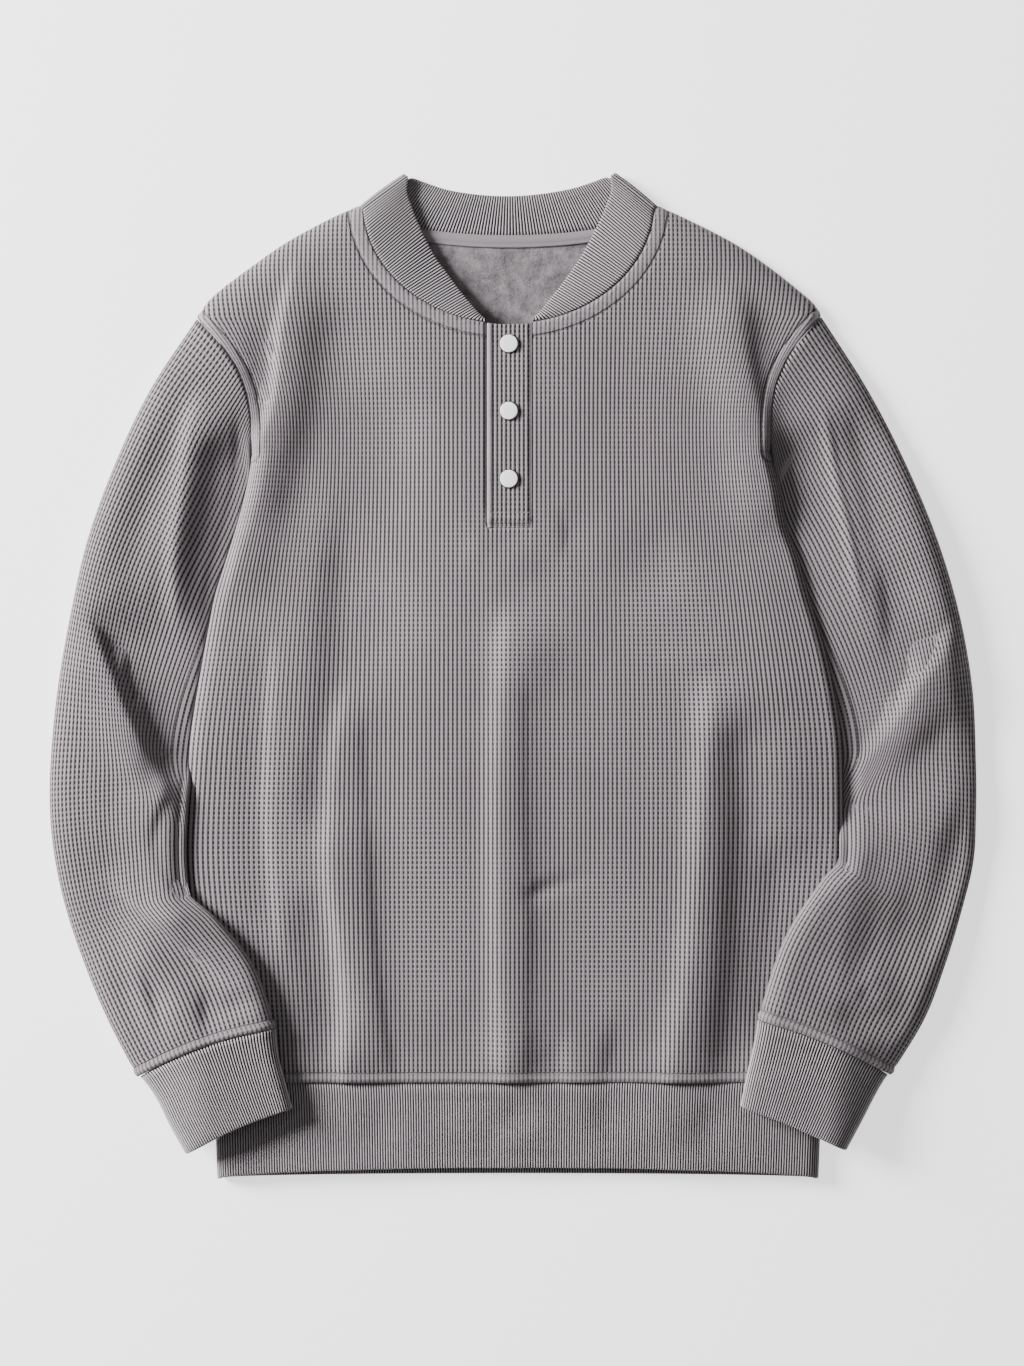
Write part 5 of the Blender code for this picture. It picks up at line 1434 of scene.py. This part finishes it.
def stitch_row(line):
    """Points and triangles of even stitches along a line of surface points."""
    line = np.asarray(line, float)
    steps = np.linalg.norm(np.diff(line, axis=0), axis=1)
    length = np.concatenate([[0], np.cumsum(steps)])
    count = int(length[-1] // STITCH)
    short = 0.5 * STITCH_GAP / STITCH
    points, triangles = [], []
    for k in range(count):
        ends = [length[-1] * (k + share) / count for share in (short, 1 - short)]
        start, end = (np.array([np.interp(at, length, column) for column in line.T])
                      for at in ends)
        triangles.append(stitch_skin() + len(points))
        points += stitch(start, end)
    return np.array(points), np.vstack(triangles)


NECK_STITCHED = (-3, 183)    # degrees round the neck between which it is topstitched
NECK_MARKS, ARM_LINE_MARKS, HEM_MARKS, CUFF_MARKS = 240, 60, 500, 70
PLACKET_MARKS, FOOT_MARKS = 90, 40
NECK_LINE_END = 0.006        # the neck's line ends so far below the shoulder
ARM_LINE = (0.02, 0.97)      # shares of the armhole and of the sleeve's width that are stitched
CUFF_LINE = (0.02, 0.98)
HEM_LINE_END = 0.004
LINE_SHY = 0.001             # a line stops so far from an edge that it meets
PLACKET_LINE_SINK = 0.0004   # how far the placket's stitches sink into it
CUFF_LINE_SINK = 0.6         # and the cuff's, as a share of their groove
SLEEVE_LENGTH = 0.53         # of a sleeve along its middle


def on_front(x, y):
    """Points on the front's surface, with its seams and grooves."""
    return moved_out(x, y, front_detail(x, y))


def neck_lines():
    """The line round the neck, on either side of the placket."""
    grow = BAND["neck"]
    angles = np.radians(np.linspace(*NECK_STITCHED, NECK_MARKS))
    x = NECK_X - (NECK_HALF + grow) * np.cos(angles)
    y = NECK_TOP - (NECK_FRONT + grow) * np.sin(angles)
    lines = []
    for part in (x < PLACKET_RIGHT - LINE_SHY, x > PLACKET_LEFT + LINE_SHY):
        inside = part & (y < shoulder_y(x) - NECK_LINE_END)
        lines.append(on_front(x[inside], y[inside]))
    return lines


def arm_line(side):
    """The line beside an armhole."""
    x, y = armhole(side, np.linspace(*ARM_LINE, ARM_LINE_MARKS))
    dx, dy = np.gradient(x), np.gradient(y)
    size = np.hypot(dx, dy)
    away = INWARD[side] * BAND["arm"]
    return on_front(x + away * dy / size, y - away * dx / size)


def placket_lines():
    """The lines along the placket's sewn edge and across its foot."""
    left = PLACKET_LEFT - PLACKET_GAP / 2
    top = float(neck_y(left, NECK_FRONT)) - LINE_SHY
    proud = PLACKET_PROUD - PLACKET_LINE_SINK
    y = np.linspace(PLACKET_FOOT + LINE_SHY, top, PLACKET_MARKS)
    lines = [(np.full_like(y, left - SEWN_LINE[0]), y)]
    x = np.linspace(PLACKET_RIGHT + LINE_SHY, left - LINE_SHY, FOOT_MARKS)
    lines += [(x, np.full_like(x, PLACKET_FOOT + line)) for line in FOOT_LINES]
    return [stack(x, y, front_top(x, y) + proud) for x, y in lines]


def cuff_line(side):
    """The line over a cuff's seam, on the sleeve's upper side."""
    share = np.linspace(*CUFF_LINE, CUFF_MARKS)
    place = 1 - BAND["cuff"] / SLEEVE_LENGTH
    return tube_grid(side, SLEEVES[side], [place], share, np.ones(CUFF_MARKS, bool),
                     GROOVE * CUFF_LINE_SINK, True)


def stitch_lines():
    """Every topstitched line: round the neck, armholes, hem, placket and cuffs."""
    lines = neck_lines() + [arm_line(side) for side in INWARD]
    ends = [float(side_edge(side, HEM_Y)) + INWARD[side] * HEM_LINE_END for side in INWARD]
    x = np.linspace(*ends, HEM_MARKS)
    lines.append(on_front(x, np.full_like(x, HEM_Y + BAND["hem"])))
    return lines + placket_lines() + [cuff_line(side) for side in INWARD]


def make_stitches():
    """All the stitches as one piece."""
    points, triangles, total = [], [], 0
    for line in stitch_lines():
        row_points, row_triangles = stitch_row(line)
        points.append(row_points)
        triangles.append(row_triangles + total)
        total += len(row_points)
    points = np.vstack(points)
    return make_piece("stitching", points, np.vstack(triangles), points[:, :2] / THREAD_CELL)


# ---- materials -----------------------------------------------------------------------------
class Nodes:
    """Short calls that add nodes to one material."""

    def __init__(self, name):
        self.material = bpy.data.materials.new(name)
        self.material.use_nodes = True
        self.tree = self.material.node_tree
        self.shader = self.tree.nodes["Principled BSDF"]

    def add(self, kind, **values):
        """A node with its properties set."""
        node = self.tree.nodes.new("ShaderNode" + kind)
        for key, value in values.items():
            setattr(node, key, value)
        return node

    def link(self, output, target):
        """An output into an input."""
        self.tree.links.new(output, target)

    def put(self, value, target):
        """A number or another node's output into an input."""
        if isinstance(value, (int, float)):
            target.default_value = value
        else:
            self.link(value, target)

    def math(self, kind, first, second=0.0, third=0.0):
        """The result of a Math node."""
        node = self.add("Math", operation=kind)
        for value, target in zip((first, second, third), node.inputs):
            self.put(value, target)
        return node.outputs[0]

    def inverse(self, value):
        """1 less the value."""
        return self.math("SUBTRACT", 1.0, value)

    def scaled(self, value, factor, base=1.0):
        """The value times a factor, over a base."""
        return self.math("MULTIPLY_ADD", value, factor, base)

    def about_one(self, value, size):
        """A factor near 1, which varies by `size` as the value goes from 0 to 1."""
        return self.scaled(self.math("SUBTRACT", value, 0.5), size)

    def mix(self, share, first, second):
        """The first colour at share 0, the second at 1."""
        node = self.add("Mix", data_type="RGBA")
        self.put(share, node.inputs[0])
        for value, target in ((first, node.inputs[6]), (second, node.inputs[7])):
            if isinstance(value, tuple):
                target.default_value = (*value, 1)
            else:
                self.link(value, target)
        return node.outputs[2]

    def noise(self, scale, detail=3.0, rough=0.6):
        """Noise in space, with so many waves a metre."""
        place = self.add("TexCoord")
        node = self.add("TexNoise")
        node.inputs["Scale"].default_value = scale
        node.inputs["Detail"].default_value = detail
        node.inputs["Roughness"].default_value = rough
        self.link(place.outputs["Object"], node.inputs["Vector"])
        return node.outputs["Fac"]

    def uv(self, name):
        """The two values of a UV map."""
        place = self.add("UVMap", uv_map=name)
        parts = self.add("SeparateXYZ")
        self.link(place.outputs[0], parts.inputs[0])
        return parts.outputs[0], parts.outputs[1]

    def wave(self, value):
        """0.5 + 0.5 cos of a whole turn for each unit."""
        turn = self.scaled(value, 2 * math.pi, 0.0)
        return self.scaled(self.math("COSINE", turn), 0.5, 0.5)

    def spot(self, spot):
        """1 in the middle of an upright oval, 0 from its edge outwards."""
        place = self.add("TexCoord")
        away = self.add("VectorMath", operation="SUBTRACT")
        away.inputs[1].default_value = (spot.x, spot.y, 0)
        self.link(place.outputs["Object"], away.inputs[0])
        scaled = self.add("VectorMath", operation="MULTIPLY")
        scaled.inputs[1].default_value = (1 / spot.wide, 1 / spot.tall, 0)
        self.link(away.outputs[0], scaled.inputs[0])
        size = self.add("VectorMath", operation="LENGTH")
        self.link(scaled.outputs[0], size.inputs[0])
        return self.inverse(self.steps(size.outputs["Value"], SPOT_CORE, 1.0))

    def bump(self, height, distance, strength, under=None):
        """A normal from a height, over another normal if one is given."""
        node = self.add("Bump")
        node.inputs["Strength"].default_value = strength
        node.inputs["Distance"].default_value = distance
        self.link(height, node.inputs["Height"])
        if under is not None:
            self.link(under, node.inputs["Normal"])
        return node.outputs[0]

    def steps(self, value, low, high):
        """0 up to `low`, 1 from `high`, smooth between them."""
        node = self.add("MapRange", interpolation_type="SMOOTHSTEP")
        node.inputs["From Min"].default_value = low
        node.inputs["From Max"].default_value = high
        self.link(value, node.inputs["Value"])
        return node.outputs["Result"]

    def cloth_shader(self, colour, normal, roughness, sheen):
        """The material, finished as a matt cloth."""
        self.link(colour, self.shader.inputs["Base Color"])
        self.link(normal, self.shader.inputs["Normal"])
        self.shader.inputs["Roughness"].default_value = roughness
        self.shader.inputs["Specular IOR Level"].default_value = CLOTH_GLOSS
        self.shader.inputs["Sheen Weight"].default_value = sheen
        self.shader.inputs["Sheen Roughness"].default_value = SHEEN_SPREAD
        return self.material


CLOTH_GLOSS = 0.15
SHEEN_SPREAD = 0.5
KNIT_LIGHT = (0.262, 0.234, 0.2500)      # a rib's crest, and painted shade at the bottom of a gap
KNIT_GAP_SHADE = (0.022, 0.0185, 0.0202)
RIB_LIGHT = (0.350, 0.318, 0.337)        # the trims' own crest, and painted shade in their gaps
RIB_GAP_SHADE = (0.014, 0.0122, 0.0133)
FLEECE_LIGHT = (0.225, 0.203, 0.216)
FLEECE_DARK = (0.080, 0.070, 0.075)
TAPE_LIGHT = (0.245, 0.221, 0.236)
TAPE_DARK = (0.180, 0.161, 0.173)
THREAD_DARK = (0.20, 0.185, 0.193)
THREAD_LIGHT = (0.29, 0.268, 0.280)
CAP_TONES = (0.88, 0.88, 0.88), (0.92, 0.92, 0.925)
SOCKET_TONES = (0.05, 0.048, 0.05), (0.10, 0.095, 0.10)
FINE_GRAIN = 0.62            # how much the fibre varies the waffle's tone
TRIM_GRAIN = 0.16            # and the trims'
BROAD_TONE = 0.16            # how much broad patches vary it
BAR_LIGHT = -0.24            # how much a bar takes off its gap's painted shade
BAR_OPEN = -0.46             # and how much more where the knit is stretched
OPEN_MOST = 0.55             # how stretched it is in patches of noise, where 1 is a spot's middle
BAND_LIGHT = -0.30           # how much a seam allowance takes off the painted shade in the gaps
GROOVE_SHADE = 0.50           # painted shade in the topstitched groove

Spot = namedtuple("Spot", "x y wide tall")
SPOT_CORE = 0.25             # share of a spot in which it has its full strength
STRETCHED = rows_of(Spot, [  # where the knit is pulled so that its bars show between the ribs, with less painted shade on them
    (0.112, 0.045, 0.055, 0.070), (0.140, -0.010, 0.040, 0.060), (-0.175, -0.120, 0.055, 0.110),
    (-0.060, -0.170, 0.050, 0.110), (0.070, -0.190, 0.050, 0.090), (0.010, 0.020, 0.060, 0.050),
])


def fibres(nodes, light, dark, share, grain=FINE_GRAIN):
    """The cloth's two tones mixed by `share`, which for the knits is their painted shade, with a
    little fibre and wear in it.
    """
    base = nodes.mix(share, light, dark)
    fine = nodes.noise(1900.0, 2.0, 0.7)
    broad = nodes.noise(22.0, 3.0, 0.55)
    tone = nodes.about_one(fine, grain)
    tone = nodes.math("MULTIPLY", tone, nodes.about_one(broad, BROAD_TONE))
    scale = nodes.add("VectorMath", operation="SCALE")
    nodes.link(base, scale.inputs[0])
    nodes.link(tone, scale.inputs["Scale"])
    return scale.outputs[0]


def knit_material():
    """Waffle knit: painted shade in the gaps between the ribs, less of it on the bars that cross
    them and in the seam allowances, and painted shade along the topstitched grooves."""
    nodes = Nodes("waffle_knit")
    across, along = nodes.uv("cloth")
    rib = nodes.wave(across)
    bar = nodes.wave(along)
    # painted shade in the gaps between the ribs, deepest in the pits and less on the bars
    gap = nodes.inverse(nodes.steps(rib, 0.12, 0.66))
    patches = nodes.steps(nodes.noise(13.0, 2.0, 0.5), 0.42, 0.70)
    open_part = nodes.math("MULTIPLY", patches, OPEN_MOST)
    for spot in STRETCHED:
        open_part = nodes.math("MAXIMUM", open_part, nodes.spot(spot))
    bars = nodes.scaled(open_part, BAR_OPEN, BAR_LIGHT)
    pit_shade = nodes.math("MULTIPLY", gap, nodes.scaled(nodes.steps(bar, 0.35, 0.95), bars))
    away, _ = nodes.uv("seams")
    from_line = nodes.math("ABSOLUTE", nodes.math("SUBTRACT", away, 1.0))
    # painted shade along the topstitched groove, over the gaps' painted shade
    groove = nodes.inverse(nodes.steps(from_line, 0.03, 0.13))
    in_band = nodes.inverse(nodes.steps(away, 0.9, 1.0))
    pit_shade = nodes.math("MULTIPLY", pit_shade, nodes.scaled(in_band, BAND_LIGHT))
    dark = nodes.math("MAXIMUM", pit_shade, nodes.math("MULTIPLY", groove, GROOVE_SHADE))
    colour = fibres(nodes, KNIT_LIGHT, KNIT_GAP_SHADE, dark)
    height = nodes.inverse(pit_shade)
    fuzz = nodes.bump(nodes.noise(1500.0, 2.0, 0.7), 0.00025, 0.5)
    normal = nodes.bump(height, 0.00045, 0.9, fuzz)
    normal = nodes.bump(nodes.inverse(groove), 0.0008, 0.9, normal)
    return nodes.cloth_shader(colour, normal, 0.92, 0.05)


def rib_material():
    """The trims' ribbing: painted shade in the gaps between its ribs, and faint stitches along
    them.
    """
    nodes = Nodes("rib_knit")
    across, along = nodes.uv("cloth")
    rib = nodes.wave(across)
    # painted shade in the gaps between the ribs
    gap = nodes.inverse(nodes.steps(rib, 0.26, 0.66))
    stitches = nodes.wave(along)
    dark = nodes.math("MULTIPLY", gap, nodes.scaled(stitches, -0.03))
    colour = fibres(nodes, RIB_LIGHT, RIB_GAP_SHADE, dark, TRIM_GRAIN)
    fuzz = nodes.bump(nodes.noise(1700.0, 2.0, 0.7), 0.0001, 0.25)
    normal = nodes.bump(nodes.inverse(dark), 0.0002, 0.5, fuzz)
    return nodes.cloth_shader(colour, normal, 0.92, 0.10)


def fleece_material():
    """The back's brushed side: soft clumps with nap on them."""
    nodes = Nodes("brushed_fleece")
    clumps = nodes.noise(95.0, 5.0, 0.62)
    nap = nodes.noise(620.0, 4.0, 0.7)
    share = nodes.scaled(clumps, 0.9, nodes.math("MULTIPLY", nap, 0.5))
    colour = fibres(nodes, FLEECE_LIGHT, FLEECE_DARK, nodes.steps(share, 0.45, 0.95))
    soft = nodes.bump(clumps, 0.0022, 0.55)
    normal = nodes.bump(nap, 0.0006, 0.7, soft)
    return nodes.cloth_shader(colour, normal, 1.0, 0.35)


def tape_material():
    """Twill tape, with slanted yarns."""
    nodes = Nodes("neck_tape")
    across, along = nodes.uv("cloth")
    slant = nodes.wave(nodes.math("ADD", across, along))
    colour = fibres(nodes, TAPE_LIGHT, TAPE_DARK, slant)
    normal = nodes.bump(slant, 0.00015, 0.6)
    return nodes.cloth_shader(colour, normal, 0.85, 0.1)


def thread_material():
    """Sewing thread, with its twist."""
    nodes = Nodes("thread")
    across, _ = nodes.uv("cloth")
    twist = nodes.wave(nodes.math("MULTIPLY", across, 2.2))
    colour = nodes.mix(twist, THREAD_DARK, THREAD_LIGHT)
    normal = nodes.bump(twist, 0.0001, 0.5)
    return nodes.cloth_shader(colour, normal, 0.7, 0.0)


def cap_material():
    """White painted metal with a faint haze."""
    nodes = Nodes("snap_cap")
    haze = nodes.noise(900.0, 2.0, 0.6)
    nodes.link(nodes.mix(haze, *CAP_TONES), nodes.shader.inputs["Base Color"])
    nodes.link(nodes.bump(haze, 0.00003, 0.3), nodes.shader.inputs["Normal"])
    nodes.shader.inputs["Roughness"].default_value = 0.38
    return nodes.material


def socket_material():
    """Dark metal round a cap."""
    nodes = Nodes("snap_socket")
    haze = nodes.noise(1400.0, 2.0, 0.6)
    nodes.link(nodes.mix(haze, *SOCKET_TONES), nodes.shader.inputs["Base Color"])
    nodes.shader.inputs["Roughness"].default_value = 0.5
    nodes.shader.inputs["Metallic"].default_value = 0.6
    return nodes.material


def give(piece, *materials):
    """The materials into a piece's slots, in order."""
    for material in materials:
        piece.data.materials.append(material)


# ---- the stage -----------------------------------------------------------------------------
CAMERA_HEIGHT = 2.0
VIEW_LONG = 0.984            # length of the view along its long side, at the shirt's level
VIEW_X, VIEW_Y = -0.0007, -0.0054
SHIRT_LEVEL = 0.013
LONG_SENSOR = 36.0
FLOOR_SIDE = 30.0            # half the floor's width
FLOOR_DROP = 0.0002          # how far it lies under the shirt
FLOOR_TONES = (0.845, 0.845, 0.845), (0.855, 0.855, 0.855)
FLOOR_GLOW = 1.40            # the floor is a lit table, which keeps the shadows pale
KEY_PLACE, KEY_SIZE, KEY_WATTS = (-2.69, 1.09, 1.35), 1.35, 415.0
TOP_PLACE, TOP_SIZE, TOP_WATTS = (-0.3, 0.6, 2.6), 1.6, 8.0
ROOM_STRENGTH = 0.20


def make_stage():
    """A plain pale floor, lit a little from within."""
    mesh = bpy.data.meshes.new("floor")
    side = FLOOR_SIDE
    mesh.from_pydata([(-side, -side, 0), (side, -side, 0), (side, side, 0), (-side, side, 0)], [],
                     [(0, 1, 2, 3)])
    floor = bpy.data.objects.new("floor", mesh)
    bpy.context.scene.collection.objects.link(floor)
    floor.location.z = -FLOOR_DROP
    nodes = Nodes("floor_paint")
    colour = nodes.mix(nodes.noise(3.0), *FLOOR_TONES)
    nodes.link(colour, nodes.shader.inputs["Base Color"])
    nodes.shader.inputs["Roughness"].default_value = 0.9
    nodes.shader.inputs["Specular IOR Level"].default_value = 0.1
    nodes.shader.inputs["Emission Color"].default_value = (1.0, 1.0, 1.0, 1)
    nodes.shader.inputs["Emission Strength"].default_value = FLOOR_GLOW
    give(floor, nodes.material)


def make_light(name, place, size, watts):
    """A round area light that faces the shirt's middle."""
    data = bpy.data.lights.new(name, "AREA")
    data.shape = "DISK"
    data.size = size
    data.energy = watts
    light = bpy.data.objects.new(name, data)
    light.location = place
    light.rotation_mode = "QUATERNION"
    light.rotation_quaternion = (-Vector(place)).to_track_quat("-Z", "Y")
    bpy.context.scene.collection.objects.link(light)


def make_lights():
    """A low soft key light from the upper left, a weak one from above, and the room's."""
    make_light("key", KEY_PLACE, KEY_SIZE, KEY_WATTS)
    make_light("top", TOP_PLACE, TOP_SIZE, TOP_WATTS)
    world = bpy.data.worlds.new("room")
    world.use_nodes = True
    world.node_tree.nodes["Background"].inputs["Color"].default_value = (1.0, 1.0, 1.0, 1)
    world.node_tree.nodes["Background"].inputs["Strength"].default_value = ROOM_STRENGTH
    bpy.context.scene.world = world


def make_camera():
    """A camera that looks straight down."""
    data = bpy.data.cameras.new("camera")
    data.sensor_width = LONG_SENSOR
    data.sensor_fit = "AUTO"
    data.lens = LONG_SENSOR * (CAMERA_HEIGHT - SHIRT_LEVEL) / VIEW_LONG
    camera = bpy.data.objects.new("camera", data)
    camera.location = (VIEW_X, VIEW_Y, CAMERA_HEIGHT)
    bpy.context.scene.collection.objects.link(camera)
    bpy.context.scene.camera = camera


# ---- what stands for what ------------------------------------------------------------------
def main():
    """Makes the stage and every piece, gives each its materials, and hides the CAD part that it
    stands for.
    """
    make_camera()
    make_stage()
    make_lights()
    knit, rib, fleece, tape = knit_material(), rib_material(), fleece_material(), tape_material()
    thread, cap, socket = thread_material(), cap_material(), socket_material()

    back = make_back()
    give(back, fleece)
    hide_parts("back_panel")

    front = make_front()
    give(front, knit)
    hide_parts("front_panel")
    stitches = make_stitches()
    give(stitches, thread)

    for side in ("right", "left"):
        sleeve = make_sleeve(side)
        give(sleeve, knit)
        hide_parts("sleeve_" + side)
        cuff = make_cuff(side)
        give(cuff, rib)
        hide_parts("cuff_" + side)

    band = make_hem_band()
    give(band, rib)
    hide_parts("hem_band")

    collar = make_collar()
    give(collar, rib)
    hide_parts("collar")

    strip = make_neck_tape()
    give(strip, tape)
    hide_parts("neck_tape")

    upper = make_placket_top()
    give(upper, knit)
    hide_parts("placket_upper")
    under = make_placket_below()
    give(under, knit)
    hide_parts("placket_under")

    for number, y in enumerate(SNAP_YS, start=1):
        disc = make_cap(number, y)
        give(disc, cap, socket)
        for face in disc.data.polygons:
            away = math.hypot(face.center.x - SNAP_X, face.center.y - y)
            face.material_index = int(away > SNAP_FACE)
        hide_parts(f"snap_{number}")


main()
